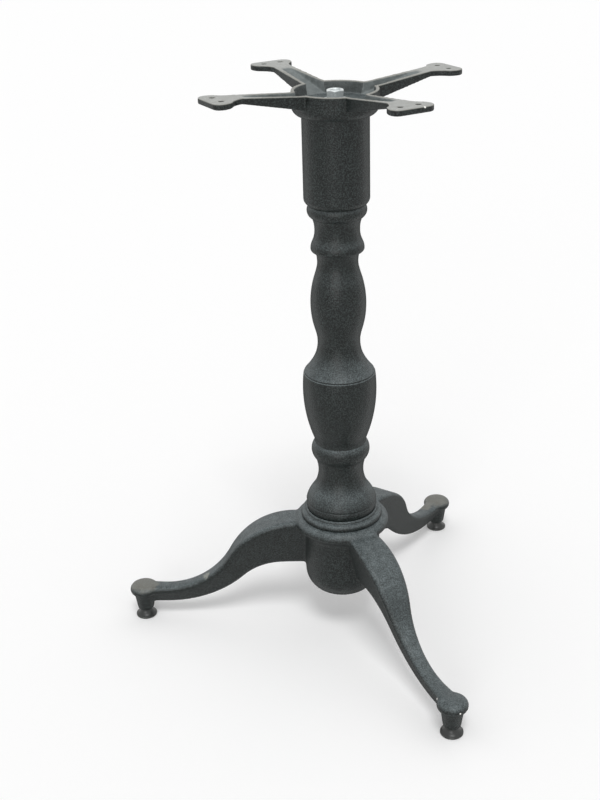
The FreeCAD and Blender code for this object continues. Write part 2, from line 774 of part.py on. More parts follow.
def build_glide(side, azimuth):
    """One levelling glide: a moulded foot and the stud that it turns on."""
    foot_axis = {"x": "foot_radius"}
    neck_top = "(boss_end_height - glide_gap)"
    foot = make_body(f"glide_foot_{side}", azimuth)
    turned(foot, "PartDesign::Revolution", f"glide_{side}_disc", [
        ("0", "0"),
        ("glide_diameter / 2", "0"),
        ("glide_diameter / 2", "glide_rim_height"),
        ("glide_diameter / 2 - glide_shelf_width", "glide_cone_height", "-glide_cone_hollow"),
        ("glide_neck_radius", f"{neck_top} - glide_neck_height"),
        ("glide_neck_radius", neck_top),
        ("stud_diameter / 2 + fit_clearance", neck_top),
        ("stud_diameter / 2 + fit_clearance", "glide_floor"),
        ("0", "glide_floor"),
    ], foot_axis)
    stud = make_body(f"glide_stud_{side}", azimuth)
    stud_top = "(boss_end_height + stud_engagement)"
    turned(stud, "PartDesign::Revolution", f"glide_{side}_stud", [
        ("0", "glide_floor"),
        ("stud_diameter / 2", "glide_floor"),
        ("stud_diameter / 2", f"{stud_top} - stud_chamfer"),
        ("stud_diameter / 2 - stud_chamfer", stud_top),
        ("0", stud_top),
    ], foot_axis)
    return foot, stud


def check_document():
    """Stops if anything in the document failed to build."""
    doc.recompute()
    failed = [item.Name for item in doc.Objects if {"Invalid", "Error"} & set(item.State)]
    if failed:
        raise RuntimeError(f"not built: {failed}")


def export_pieces(bodies):
    """Checks each piece's shape and writes it to its own file."""
    for body in bodies:
        if body.Shape.isNull() or not body.Shape.isValid() or not body.Shape.Solids:
            raise RuntimeError(f"{body.Label} has no valid shape")
    os.makedirs("parts", exist_ok=True)
    for body in bodies:
        body.Shape.exportStep(f"parts/{body.Label}.step")
        print(f"{body.Label}: {len(body.Shape.Solids)} solid, {body.Shape.Volume / 1000:.1f} cm3")


def main():
    """Builds every piece, checks the document and writes the pieces out."""
    bodies = [build_tripod(), build_column(), build_spider(), build_rod()]
    bodies.append(build_washer("top_washer", WELL_FLOOR))
    bodies.append(build_nut("top_nut", TOP_NUT_LOW, f"{TOP_NUT_LOW} + nut_height", "-1"))
    bodies.append(build_washer("bottom_washer", f"({WEB_UNDER} - washer_thickness)"))
    bodies.append(build_nut("bottom_nut", BOTTOM_NUT_LOW, BOTTOM_NUT_LOW, "1"))
    for turn_index, side in enumerate(("front", "back", "left")):
        bodies.extend(build_glide(side, f"(leg_azimuth + {turn_index} * 360 / leg_count)"))
    check_document()
    export_pieces(bodies)


main()
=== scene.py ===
# %% [markdown]
# A pedestal table base, dressed for a photograph.
# The real thing is three iron castings under one coat of charcoal powder: a tripod with three
# curved legs, a turned hollow column, and a spider with four arms that the table top is screwed
# to. One long rod with a zinc-plated nut at each end pulls them together, and a black plastic
# glide under each toe levels the whole. The solid model gives the main sizes and every moving
# part, so it is loaded first and stays where it is. Lengths below are millimetres unless a name
# says otherwise, and become metres when a mesh is made.

# %% Load the solid model
import math

import bmesh
import bpy
import numpy as np
from mathutils import Matrix


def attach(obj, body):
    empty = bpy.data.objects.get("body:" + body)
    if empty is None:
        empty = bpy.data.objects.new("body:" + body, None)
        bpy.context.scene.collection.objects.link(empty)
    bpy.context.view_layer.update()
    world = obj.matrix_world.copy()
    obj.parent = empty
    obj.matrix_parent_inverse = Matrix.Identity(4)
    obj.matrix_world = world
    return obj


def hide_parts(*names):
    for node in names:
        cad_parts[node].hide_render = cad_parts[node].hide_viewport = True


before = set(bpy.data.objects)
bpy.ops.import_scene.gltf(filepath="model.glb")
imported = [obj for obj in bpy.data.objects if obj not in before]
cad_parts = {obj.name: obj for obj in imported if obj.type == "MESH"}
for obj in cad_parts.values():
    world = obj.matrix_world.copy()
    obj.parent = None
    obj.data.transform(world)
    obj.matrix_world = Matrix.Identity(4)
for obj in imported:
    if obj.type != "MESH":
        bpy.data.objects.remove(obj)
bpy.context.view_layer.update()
MM = 0.001

# %% [markdown]
# The camera stands a little over the table's height and looks down at the base. Its place, how
# far it is turned, tipped and rolled, and the length of its lens come from fitting it to the
# photograph. It could also be aimed with a Track To constraint, but three plain turns say the
# same and keep the roll.

# %% Camera
CAMERA_DISTANCE = 1412.28
CAMERA_HEIGHT = 1001.48
CAMERA_AROUND = 14.07
CAMERA_HEADING = 16.098
CAMERA_TIP = 25.514
CAMERA_ROLL = -1.765
LENS = 56.152
FILM_LONG_SIDE = 36.0

around = math.radians(CAMERA_AROUND)
camera_data = bpy.data.cameras.new("camera")
camera_data.lens = LENS
camera_data.sensor_width = FILM_LONG_SIDE
camera_data.clip_end = 60.0
camera = bpy.data.objects.new("camera", camera_data)
camera.matrix_world = (
    Matrix.Translation((
        CAMERA_DISTANCE * math.sin(around) * MM,
        -CAMERA_DISTANCE * math.cos(around) * MM,
        CAMERA_HEIGHT * MM,
    ))
    @ Matrix.Rotation(math.radians(CAMERA_HEADING), 4, "Z")
    @ Matrix.Rotation(math.radians(90.0 - CAMERA_TIP), 4, "X")
    @ Matrix.Rotation(math.radians(CAMERA_ROLL), 4, "Z")
)
bpy.context.scene.collection.objects.link(camera)
bpy.context.scene.camera = camera
print("camera at", [round(value, 3) for value in camera.matrix_world.translation])

# %% [markdown]
# A material is a small net of nodes. One helper adds a node, sets its options and fills its
# sockets: with a value, with a socket of another node, or with that node itself, which then gives
# its first live output. Another helper turns a colour written as a web designer does into the
# linear light that the renderer counts in. A third closes the net with the Principled shader.

# %% Material helpers
def linear(code):
    """Linear red, green, blue and alpha of an sRGB colour such as "#34393A".

    The darkest levels are divided by 12.92. The others are shifted by 0.055, scaled back to one,
    and raised to the power 2.4.
    """
    levels = np.array([int(code[place:place + 2], 16) for place in (1, 3, 5)]) / 255.0
    light = np.where(levels <= 0.04045, levels / 12.92, ((levels + 0.055) / 1.055) ** 2.4)
    return (*light.tolist(), 1.0)


def add_node(tree, kind, settings=None, inputs=None):
    """Adds a node, sets its options, and gives each named input a value or a link."""
    node = tree.nodes.new(kind)
    for name, value in (settings or {}).items():
        setattr(node, name, value)
    for name, value in (inputs or {}).items():
        if isinstance(value, bpy.types.Node):
            value = next(socket for socket in value.outputs if socket.enabled)
        if isinstance(value, bpy.types.NodeSocket):
            tree.links.new(value, node.inputs[name])
        else:
            node.inputs[name].default_value = value
    return node


def start_material(name):
    """An empty material; gives it, its tree and the object's own coordinates."""
    material = bpy.data.materials.new(name)
    material.use_nodes = True
    tree = material.node_tree
    tree.nodes.clear()
    return material, tree, add_node(tree, "ShaderNodeTexCoord").outputs["Object"]


def finish_material(tree, inputs):
    """Adds the Principled shader with its inputs and shows it on the surface."""
    shader = add_node(tree, "ShaderNodeBsdfPrincipled", {}, inputs)
    add_node(tree, "ShaderNodeOutputMaterial", {}, {"Surface": shader})


print("helpers ready; mid grey is", [round(value, 3) for value in linear("#808080")[:3]])

# %% [markdown]
# Wear and painted light lie over the coat as further finishes, each with a mask: 0 keeps what is
# below, 1 shows the wear or the painted light. A mask that fades with the distance from a point of
# the object stays on that point from every side, which a picture on a flat map would not do on so
# curved a casting. A little noise moves the coordinates first, so that its edge is ragged, as a real
# chip's is. The painted sheen, the painted reflection on the pads and the toes' scuffs lie on
# surfaces that look up, so a second mask reads the surface's own direction.

# %% Masks for wear and painted light
FULL_SHARE = 0.55


def near(tree, place, centre, radius, ragged, grain):
    """Mask of 1 around a point, in millimetres, that fades out at radius with a ragged edge.

    Noise of the size grain moves each coordinate by up to half of ragged either way. The mask
    then falls smoothly from 1 at FULL_SHARE of the radius to 0 at the radius.
    """
    noise = add_node(tree, "ShaderNodeTexNoise", {}, {"Vector": place, "Scale": 1.0 / (grain * MM)})
    push = add_node(tree, "ShaderNodeVectorMath", {"operation": "MULTIPLY_ADD"}, {
        0: noise.outputs["Color"], 1: [ragged * MM] * 3, 2: [-0.5 * ragged * MM] * 3,
    })
    moved = add_node(tree, "ShaderNodeVectorMath", {"operation": "ADD"}, {0: place, 1: push})
    apart = add_node(tree, "ShaderNodeVectorMath", {"operation": "DISTANCE"},
                     {0: moved, 1: [value * MM for value in centre]})
    return add_node(tree, "ShaderNodeMapRange", {"interpolation_type": "SMOOTHSTEP"}, {
        "Value": apart, "From Min": radius * MM, "From Max": FULL_SHARE * radius * MM,
    })


def facing_up(tree, steepest, level):
    """Mask of 0 up to the slope steepest and of 1 from level, both the normal's upward share."""
    normal = add_node(tree, "ShaderNodeNewGeometry").outputs["Normal"]
    upward = add_node(tree, "ShaderNodeSeparateXYZ", {}, {0: normal}).outputs["Z"]
    return add_node(tree, "ShaderNodeMapRange", {"interpolation_type": "SMOOTHSTEP"},
                    {"Value": upward, "From Min": steepest, "From Max": level})


print("wear masks ready")

# %% [markdown]
# Fine-textured powder coat is what makes this object look like cast iron furniture. The powder
# is sprayed dry, melts in the oven and freezes into low mounds one to two millimetres across.
# Each mound catches the studio light a little differently, so the dark grey looks dusted with
# lighter specks. The mounds are drawn a little coarser than life, because finer ones fall between
# the picture's pixels. Under the coat the iron itself is not flat: sand casting leaves broad
# shallow waves, and the melted coat lies over them like orange peel. Three sizes of bump carry
# that. The mounds' tops are also painted a few shades lighter, a painted glint of the studio light,
# and are duller than the dips. The coat shines less than a smooth paint would, which a low
# specular level says.

# %% Powder coat
COAT_DIP = "#0A0D0C"
# painted glint: the lighter colour of the mounds' tops, for the studio light that they catch
COAT_GLINT = "#303736"
DIP_LEVEL, TOP_LEVEL = 0.42, 0.68
SATIN_DIP, SATIN_TOP = 0.28, 0.38
COAT_SHEEN = 0.26
GLANCE_LOW, GLANCE_HIGH, GLANCE_DULLNESS = 0.45, 0.9, 0.5
MOUND, MOUND_DEPTH, MOUND_DETAIL = 1.5, 0.50, 1.5
PEEL, PEEL_DEPTH, PEEL_DETAIL = 5.0, 0.12, 2.0
WAVE, WAVE_DEPTH, WAVE_DETAIL = 45.0, 0.5, 2.0
COAT_PATCH = "#151A19"
PATCH, PATCH_DETAIL, PATCH_SHARE = 60.0, 3.0, 0.35
PATCH_LOW, PATCH_HIGH = 0.4, 0.65


def coat_grain(tree, place):
    """Noise of the coat's mounds, of its orange peel and of the iron's waves."""
    return [
        add_node(tree, "ShaderNodeTexNoise", {}, {
            "Vector": place, "Scale": 1.0 / (size * MM), "Detail": detail,
        })
        for size, detail in ((MOUND, MOUND_DETAIL), (PEEL, PEEL_DETAIL), (WAVE, WAVE_DETAIL))
    ]


def coat_relief(tree, grain):
    """Bumps laid one over another, from the broad waves to the mounds."""
    below = None
    for noise, depth in zip(reversed(grain), (WAVE_DEPTH, PEEL_DEPTH, MOUND_DEPTH)):
        inputs = {"Height": noise, "Distance": depth * MM, "Strength": 1.0}
        if below:
            inputs["Normal"] = below
        below = add_node(tree, "ShaderNodeBump", {}, inputs)
    return below


def coat_colour(tree, place, mounds):
    """Colour and roughness of the bare coat.

    Colour and satin run from the mounds' dips to their tops; the tops' lighter colour is a
    painted glint. Patches where the gun laid the powder thicker lie over the colour. The roughness
    grows where the surface is seen along itself, because the mounds hide one another's shine
    there, so the casting's outline stays dark.
    """
    tops = add_node(tree, "ShaderNodeMapRange", {},
                    {"Value": mounds, "From Min": DIP_LEVEL, "From Max": TOP_LEVEL})
    # dips dark, tops lighter as a painted glint
    specks = add_node(tree, "ShaderNodeMix", {"data_type": "RGBA"},
                      {0: tops, 6: linear(COAT_DIP), 7: linear(COAT_GLINT)})
    cloud = add_node(tree, "ShaderNodeTexNoise", {},
                     {"Vector": place, "Scale": 1.0 / (PATCH * MM), "Detail": PATCH_DETAIL})
    patch = add_node(tree, "ShaderNodeMapRange", {}, {
        "Value": cloud, "From Min": PATCH_LOW, "From Max": PATCH_HIGH, "To Max": PATCH_SHARE,
    })
    colour = add_node(tree, "ShaderNodeMix", {"data_type": "RGBA"},
                      {0: patch, 6: specks, 7: linear(COAT_PATCH)})
    satin = add_node(tree, "ShaderNodeMapRange", {},
                     {"Value": tops, "To Min": SATIN_DIP, "To Max": SATIN_TOP})
    glance = add_node(tree, "ShaderNodeLayerWeight", {}, {"Blend": 0.5}).outputs["Facing"]
    hidden = add_node(tree, "ShaderNodeMapRange", {}, {
        "Value": glance, "From Min": GLANCE_LOW, "From Max": GLANCE_HIGH, "To Max": GLANCE_DULLNESS,
    })
    gloss = add_node(tree, "ShaderNodeMath", {"operation": "ADD"}, {0: satin, 1: hidden})
    return colour, gloss


print("coat mounds", MOUND, "mm across and", MOUND_DEPTH, "mm high")

# %% [markdown]
# This base has stood in use, and light is painted over its coat as well. A pale painted sheen lies
# on everything that looks up, most on the mounds' tops, for the light from above. The spider's
# channels, and more faintly its well, are painted paler, as painted light falling into them. A
# thin painted highlight runs below the spider's rims, and its four pads are palest of all, with a
# painted reflection of the bright surroundings. Feet have scuffed the left and back toes to a sandy
# grey, and the coat is chipped to the pale primer at a few edges. All the castings share one
# material, and every mark names its place on the object. Each finish below is a colour with its
# roughness.

# %% Painted sheen and highlights, scuffs and chips
# first: painted sheen on upward faces; second: painted light in the spider's channels and well
PAINTED_TOP_SHEEN, PAINTED_CHANNEL_LIGHT = ("#747D7F", 0.45), ("#7E8484", 0.6)
# first: painted highlight below the spider's rims; second: painted reflection on the pads' tops
PAINTED_RIM_HIGHLIGHT, PAINTED_PAD_REFLECTION = ("#AEACA4", 0.45), ("#A5A7A4", 0.42)
SCUFF, GRAZE, PRIMER = ("#8F8B80", 0.55), ("#83857F", 0.5), ("#ECEBE6", 0.6)
CLOUD, CLOUD_DETAIL, CLOUD_LOW, CLOUD_HIGH, CLOUD_FAINT = 9.0, 5.0, 0.3, 0.7, 0.55
# the first two pairs place the painted sheen: by the surface's slope and by the mounds' tops
SHEEN_SLOPE, SHEEN_CREST, PAD_SLOPE, SCUFF_SLOPE = (0.12, 0.95), (0.34, 0.66), (0.5, 0.95), (0.1, 0.8)
SHEEN_IN_DIPS, SHEEN_ON_TOPS = 0.35, 0.85
# pad tops above this height carry the painted reflection
PAD_LEVEL, PAD_FADE = 717.5, 1.5
RIM_START, RIM_LOW, RIM_HIGH = 50.0, 713.0, 720.0
RIM_BAND, RIM_FULL, RIM_SHARE = 1.2, 0.3, 0.6
CHANNEL_LENGTH, CHANNEL_HALF_ROOT, CHANNEL_HALF_END = 121.5, 15.0, 6.6
WELL_RADIUS, WELL_LEVEL, WELL_SHARE = 47.0, 699.4, 0.4
SCUFF_RAGGED, SCUFF_GRAIN, SCUFF_SHARE = 16.0, 7.0, 0.42
SCUFFED_TOES = [((-265.0, -56.0, 50.0), 24.0), ((83.0, 257.0, 50.0), 24.0), ((70.0, 233.0, 50.0), 15.0)]
GRAZE_PLACE, GRAZE_RADIUS, GRAZE_RAGGED, GRAZE_GRAIN = (-178.4, -43.0, 66.5), 6.5, 9.0, 2.5
CHIP_RAGGED, CHIP_GRAIN = 2.6, 1.6
CHIPS = [
    ((162.2, -198.2, 42.8), 2.1), ((192.9, -216.2, 41.6), 1.5), ((120.9, -106.5, 719.3), 1.7),
    ((96.0, -126.0, 719.3), 1.2),
]
print(len(SCUFFED_TOES), "scuffs and", len(CHIPS), "chips")

# %% [markdown]
# Some painted light follows the spider's own shape: painted light inside its channels, a painted
# highlight along its rims. To paint it by hand would take a flat map of the casting. Here the
# places are worked out from the coordinates, as a maker would lay them out with a rule: how far
# along an arm, how far across it and how high.

# %% Places on the spider
def arm_ways(tree, place):
    """How far a point lies along the nearest arm, how far across it, and how high.

    The arms lie on the diagonals, so the sum and the difference of x and y, over the root of two,
    run along and across them. The larger of the two is the way along, the smaller the way across.
    """
    here = add_node(tree, "ShaderNodeSeparateXYZ", {}, {0: place}).outputs
    ways = {}
    for way, operation in enumerate(("ADD", "SUBTRACT")):
        both = add_node(tree, "ShaderNodeMath", {"operation": operation}, {0: here["X"], 1: here["Y"]})
        size = add_node(tree, "ShaderNodeMath", {"operation": "ABSOLUTE"}, {0: both})
        ways[way] = add_node(tree, "ShaderNodeMath", {"operation": "MULTIPLY"},
                             {0: size, 1: math.sqrt(0.5)})
    along = add_node(tree, "ShaderNodeMath", {"operation": "MAXIMUM"}, ways)
    across = add_node(tree, "ShaderNodeMath", {"operation": "MINIMUM"}, ways)
    return along, across, here["Z"]


# mask of the painted light in the channels and, fainter, in the well
def inside_spider(tree, place, along, across, height):
    """Mask of 1 inside the four channels, whose half width falls evenly, and fainter in the well."""
    half = add_node(tree, "ShaderNodeMapRange", {}, {
        "Value": along, "From Min": 0.0, "From Max": CHANNEL_LENGTH * MM,
        "To Min": CHANNEL_HALF_ROOT * MM, "To Max": CHANNEL_HALF_END * MM,
    })
    narrow = add_node(tree, "ShaderNodeMath", {"operation": "LESS_THAN"}, {0: across, 1: half})
    short = add_node(tree, "ShaderNodeMath", {"operation": "LESS_THAN"},
                     {0: along, 1: CHANNEL_LENGTH * MM})
    channel = add_node(tree, "ShaderNodeMath", {"operation": "MULTIPLY"}, {0: narrow, 1: short})
    level = add_node(tree, "ShaderNodeVectorMath", {"operation": "MULTIPLY"},
                     {0: place, 1: (1.0, 1.0, 0.0)})
    reach = add_node(tree, "ShaderNodeVectorMath", {"operation": "LENGTH"}, {0: level})
    well = add_node(tree, "ShaderNodeMath", {"operation": "LESS_THAN"}, {0: reach, 1: WELL_RADIUS * MM})
    faint = add_node(tree, "ShaderNodeMath", {"operation": "MULTIPLY"}, {0: well, 1: WELL_SHARE})
    either = add_node(tree, "ShaderNodeMath", {"operation": "MAXIMUM"}, {0: channel, 1: faint})
    high = add_node(tree, "ShaderNodeMath", {"operation": "GREATER_THAN"},
                    {0: height, 1: WELL_LEVEL * MM})
    return add_node(tree, "ShaderNodeMath", {"operation": "MULTIPLY"}, {0: either, 1: high})


# mask of the painted highlight in a thin band below the rims
def on_rims(tree, along, height):
    """Mask of the last millimetre below the spider's rims, which rise from cup to pads."""
    rim = add_node(tree, "ShaderNodeMapRange", {}, {
        "Value": along, "From Min": RIM_START * MM, "From Max": CHANNEL_LENGTH * MM,
        "To Min": RIM_LOW * MM, "To Max": RIM_HIGH * MM,
    })
    above = add_node(tree, "ShaderNodeMath", {"operation": "SUBTRACT"}, {0: height, 1: rim})
    return add_node(tree, "ShaderNodeMapRange", {}, {
        "Value": above, "From Min": -RIM_BAND * MM, "From Max": -RIM_FULL * RIM_BAND * MM,
        "To Max": RIM_SHARE,
    })


# the band below the rims is a painted highlight
print("channels", CHANNEL_LENGTH, "mm long, rims rubbed over", RIM_BAND, "mm")

# %% [markdown]
# The layers go on in order, from the broad painted sheen to the small chips, so that a later one
# shows over those before it: a chip breaks through painted sheen, painted channel light and coat
# alike. One mask mixes both the colour and the roughness of a layer over what lies below, so that
# the two stay in step.

# %% Layers of wear and painted light
def wear_and_light_layers(tree, place, mounds):
    """Masks from the broad painted sheen to the chips, each with its finish.

    Every mask is the product of its factors: the places where the wear or the painted light lies,
    the way that the surface looks, and how unevenly it lies there.
    """
    cloud = add_node(tree, "ShaderNodeTexNoise", {},
                     {"Vector": place, "Scale": 1.0 / (CLOUD * MM), "Detail": CLOUD_DETAIL})
    uneven = add_node(tree, "ShaderNodeMapRange", {}, {
        "Value": cloud, "From Min": CLOUD_LOW, "From Max": CLOUD_HIGH, "To Min": CLOUD_FAINT,
    })
    crests = add_node(tree, "ShaderNodeMapRange", {}, {
        "Value": mounds, "From Min": SHEEN_CREST[0], "From Max": SHEEN_CREST[1],
        "To Min": SHEEN_IN_DIPS, "To Max": SHEEN_ON_TOPS,
    })
    along, across, height = arm_ways(tree, place)
    high = add_node(tree, "ShaderNodeMapRange", {}, {
        "Value": height, "From Min": PAD_LEVEL * MM, "From Max": (PAD_LEVEL + PAD_FADE) * MM,
    })
    upward = facing_up(tree, *SCUFF_SLOPE)
    layers = [
        # painted sheen: upward faces painted paler, most on the mounds' tops, for the light from above
        ((facing_up(tree, *SHEEN_SLOPE), uneven, crests), PAINTED_TOP_SHEEN),
        # painted light: the channels and the well painted paler, for light falling into them
        ((inside_spider(tree, place, along, across, height), uneven), PAINTED_CHANNEL_LIGHT),
        # painted highlight: a thin pale band just below the spider's rims
        ((on_rims(tree, along, height),), PAINTED_RIM_HIGHLIGHT),
        # painted reflection: the pads' tops painted pale, as they mirror the bright surroundings
        ((facing_up(tree, *PAD_SLOPE), high, uneven), PAINTED_PAD_REFLECTION),
    ]
    for centre, radius in SCUFFED_TOES:
        spot = near(tree, place, centre, radius, SCUFF_RAGGED, SCUFF_GRAIN)
        layers.append(((spot, upward, SCUFF_SHARE), SCUFF))
    graze = near(tree, place, GRAZE_PLACE, GRAZE_RADIUS, GRAZE_RAGGED, GRAZE_GRAIN)
    layers.append(((graze,), GRAZE))
    for centre, radius in CHIPS:
        chip = near(tree, place, centre, radius, CHIP_RAGGED, CHIP_GRAIN)
        layers.append(((chip,), PRIMER))
    for (mask, *factors), finish in layers:
        for factor in factors:
            mask = add_node(tree, "ShaderNodeMath", {"operation": "MULTIPLY"}, {0: mask, 1: factor})
        yield mask, finish


def powder_coat(name):
    """Charcoal powder coat with painted sheen, light and highlights, scuffs and chips."""
    material, tree, place = start_material(name)
    grain = coat_grain(tree, place)
    colour, gloss = coat_colour(tree, place, grain[0])
    for mask, (tint, dullness) in wear_and_light_layers(tree, place, grain[0]):
        colour = add_node(tree, "ShaderNodeMix", {"data_type": "RGBA"},
                          {0: mask, 6: colour, 7: linear(tint)})
        gloss = add_node(tree, "ShaderNodeMix", {"data_type": "FLOAT"},
                         {0: mask, 2: gloss, 3: dullness})
    finish_material(tree, {
        "Base Color": colour, "Roughness": gloss, "Normal": coat_relief(tree, grain),
        "Specular IOR Level": COAT_SHEEN,
    })
    return material


plain_coat = powder_coat("powder_coat_fine_texture")
print("made", plain_coat.name, "with", len(plain_coat.node_tree.nodes), "nodes")

# %% [markdown]
# Bright zinc plate on the nuts and washers is a thin, slightly cool metal skin. It reflects the
# white studio softly, with faint cloudy stains and the fine tool lines of the steel below it.

# %% Zinc plate
ZINC = "#E2E6E6"
ZINC_STAIN = "#C2C8C9"
STAIN, STAIN_DETAIL, STAIN_CONTRAST = 7.0, 4.0, 0.6
STAIN_LOW, STAIN_HIGH = 0.42, 0.62
ZINC_ROUGHNESS, STAIN_ROUGHNESS = 0.42, 0.56
TOOL_LINE, TOOL_DEPTH, TOOL_DETAIL, TOOL_PULL = 0.35, 0.01, 1.0, 0.02


def zinc_plate(name):
    """Bright zinc on turned steel."""
    material, tree, place = start_material(name)
    cloud = add_node(tree, "ShaderNodeTexNoise", {},
                     {"Vector": place, "Scale": 1.0 / (STAIN * MM), "Detail": STAIN_DETAIL,
                      "Roughness": STAIN_CONTRAST})
    stains = add_node(tree, "ShaderNodeMapRange", {},
                      {"Value": cloud, "From Min": STAIN_LOW, "From Max": STAIN_HIGH})
    colour = add_node(tree, "ShaderNodeMix", {"data_type": "RGBA"},
                      {0: stains, 6: linear(ZINC), 7: linear(ZINC_STAIN)})
    gloss = add_node(tree, "ShaderNodeMapRange", {},
                     {"Value": stains, "To Min": ZINC_ROUGHNESS, "To Max": STAIN_ROUGHNESS})
    # tool lines are noise pulled out sideways, so that it changes almost only with the height
    pulled = add_node(tree, "ShaderNodeMapping", {},
                      {"Vector": place, "Scale": (TOOL_PULL, TOOL_PULL, 1.0)})
    lines = add_node(tree, "ShaderNodeTexNoise", {},
                     {"Vector": pulled, "Scale": 1.0 / (TOOL_LINE * MM), "Detail": TOOL_DETAIL})
    skin = add_node(tree, "ShaderNodeBump", {},
                    {"Height": lines, "Distance": TOOL_DEPTH * MM, "Strength": 1.0})
    finish_material(tree, {"Base Color": colour, "Metallic": 1.0, "Roughness": gloss, "Normal": skin})
    return material


bright_zinc = zinc_plate("zinc_plate_bright")
print("made", bright_zinc.name)

# %% [markdown]
# The glides are moulded in black nylon. The mould leaves it satin and faintly pebbled. Shoes and
# brooms reach only the last few millimetres above the floor, and scuff them paler there.

# %% Black nylon
NYLON = "#232524"
NYLON_SCUFF = "#5B5D59"
SCUFF_TOP, SCUFF_FULL = 4.0, 0.5
BLOT, BLOT_DETAIL, BLOT_CONTRAST, BLOT_LOW, BLOT_HIGH = 3.0, 4.0, 0.65, 0.45, 0.7
NYLON_ROUGHNESS, SCUFF_ROUGHNESS = 0.38, 0.6
PEBBLE, PEBBLE_DEPTH, PEBBLE_DETAIL = 0.8, 0.02, 1.0


def moulded_nylon(name):
    """Black moulded nylon, scuffed paler near the floor."""
    material, tree, place = start_material(name)
    height = add_node(tree, "ShaderNodeSeparateXYZ", {}, {0: place}).outputs["Z"]
    low = add_node(tree, "ShaderNodeMapRange", {"interpolation_type": "SMOOTHSTEP"},
                   {"Value": height, "From Min": SCUFF_TOP * MM, "From Max": SCUFF_FULL * MM})
    cloud = add_node(tree, "ShaderNodeTexNoise", {},
                     {"Vector": place, "Scale": 1.0 / (BLOT * MM), "Detail": BLOT_DETAIL,
                      "Roughness": BLOT_CONTRAST})
    blots = add_node(tree, "ShaderNodeMapRange", {},
                     {"Value": cloud, "From Min": BLOT_LOW, "From Max": BLOT_HIGH})
    mask = add_node(tree, "ShaderNodeMath", {"operation": "MULTIPLY"}, {0: low, 1: blots})
    colour = add_node(tree, "ShaderNodeMix", {"data_type": "RGBA"},
                      {0: mask, 6: linear(NYLON), 7: linear(NYLON_SCUFF)})
    gloss = add_node(tree, "ShaderNodeMapRange", {},
                     {"Value": mask, "To Min": NYLON_ROUGHNESS, "To Max": SCUFF_ROUGHNESS})
    pebbles = add_node(tree, "ShaderNodeTexNoise", {},
                       {"Vector": place, "Scale": 1.0 / (PEBBLE * MM), "Detail": PEBBLE_DETAIL})
    skin = add_node(tree, "ShaderNodeBump", {},
                    {"Height": pebbles, "Distance": PEBBLE_DEPTH * MM, "Strength": 1.0})
    finish_material(tree, {"Base Color": colour, "Roughness": gloss, "Normal": skin})
    return material


black_nylon = moulded_nylon("glide_nylon_black")
print("made", black_nylon.name)

# %% [markdown]
# Every new shape below is a grid of points: rows along the piece, columns round it. Faces could
# be drawn one by one, but a single function that skins any grid is shorter, closes every end in
# the same way, and sees to it that all faces point outwards.

# %% Meshes from grids
def surface(name, grid, loop=False, crease=38.0):
    """Makes a mesh from a grid of points, rows by columns by three, in millimetres.

    Each row runs round and meets itself. With loop the last row joins the first; without it
    each end row is closed by a fan to its own middle. The faces are turned so that the volume
    that they enclose comes out positive, which is what makes them point outwards.
    """
    rows, columns = grid.shape[:2]
    points = grid.reshape(-1, 3)
    row = np.arange(rows if loop else rows - 1)[:, None]
    column = np.arange(columns)[None, :]
    here, above, beside = row * columns, (row + 1) % rows * columns, (column + 1) % columns
    quads = np.stack([here + column, here + beside, above + beside, above + column], -1).reshape(-1, 4)
    triangles = np.concatenate([quads[:, [0, 1, 2]], quads[:, [0, 2, 3]]])
    fans = np.zeros((0, 3), int)
    if not loop:
        ring = np.arange(columns)
        following = (ring + 1) % columns
        first, last, end = len(points), len(points) + 1, (rows - 1) * columns
        fans = np.concatenate([
            np.stack([following, ring, np.full(columns, first)], -1),
            np.stack([end + ring, end + following, np.full(columns, last)], -1),
        ])
        points = np.concatenate([points, [grid[0].mean(0), grid[-1].mean(0)]])
        triangles = np.concatenate([triangles, fans])
    a, b, c = (points[triangles[:, corner]] for corner in range(3))
    if np.einsum("ij,ij->", a, np.cross(b, c)) < 0:
        quads, fans = quads[:, ::-1], fans[:, ::-1]
    mesh = bpy.data.meshes.new(name)
    mesh.from_pydata((points * MM).tolist(), [], quads.tolist() + fans.tolist())
    mesh.shade_smooth()
    mesh.set_sharp_from_angle(angle=math.radians(crease))
    return mesh


print("grids are in millimetres and meshes in metres, with", MM, "between them")

# %% [markdown]
# Turned parts carry a profile round an axis, and the profile is a chain of straight lines and
# bows. Real mouldings have no knife edges, because the sand, the iron and the coat all round
# them. A Bevel modifier could do that afterwards, but it fails where mouldings lie closer than
# its width. So the profile itself is blurred a little along its own length before it is turned,
# and more where the coat has filled a moulding. Rows are then spent where the profile bends, and
# saved where it runs straight.

# %% Profiles
def bow(start, end, bulge, step=0.2):
    """Points from start up to end along an arc that stands bulge beside the chord's middle.

    The arc spans twice the angle half, whose half has the tangent of twice the bulge over the
    chord. A point at the angle a lies sin a along the chord and cos a less cos half beside it.
    """
    start, end = np.array(start, float), np.array(end, float)
    chord = end - start
    length = np.hypot(*chord)
    count = max(2, math.ceil(length / step))
    share = np.linspace(0.0, 1.0, count, endpoint=False)[:, None]
    if bulge == 0:
        return start + share * chord
    half = 2.0 * math.atan(2.0 * abs(bulge) / length)
    angle = (2.0 * share - 1.0) * half
    along = (np.sin(angle) / math.sin(half) + 1.0) / 2.0
    beside = (np.cos(angle) - math.cos(half)) / (2.0 * math.sin(half)) * math.copysign(1.0, bulge)
    right = np.array([chord[1], -chord[0]])
    return start + along * chord + beside * right


def chain(points):
    """A dense profile through points (radius, height) or (radius, height, bulge to the next)."""
    runs = [bow(here[:2], there[:2], here[2] if len(here) == 3 else 0)
            for here, there in zip(points, points[1:])]
    return np.concatenate(runs + [np.array([points[-1][:2]], float)])


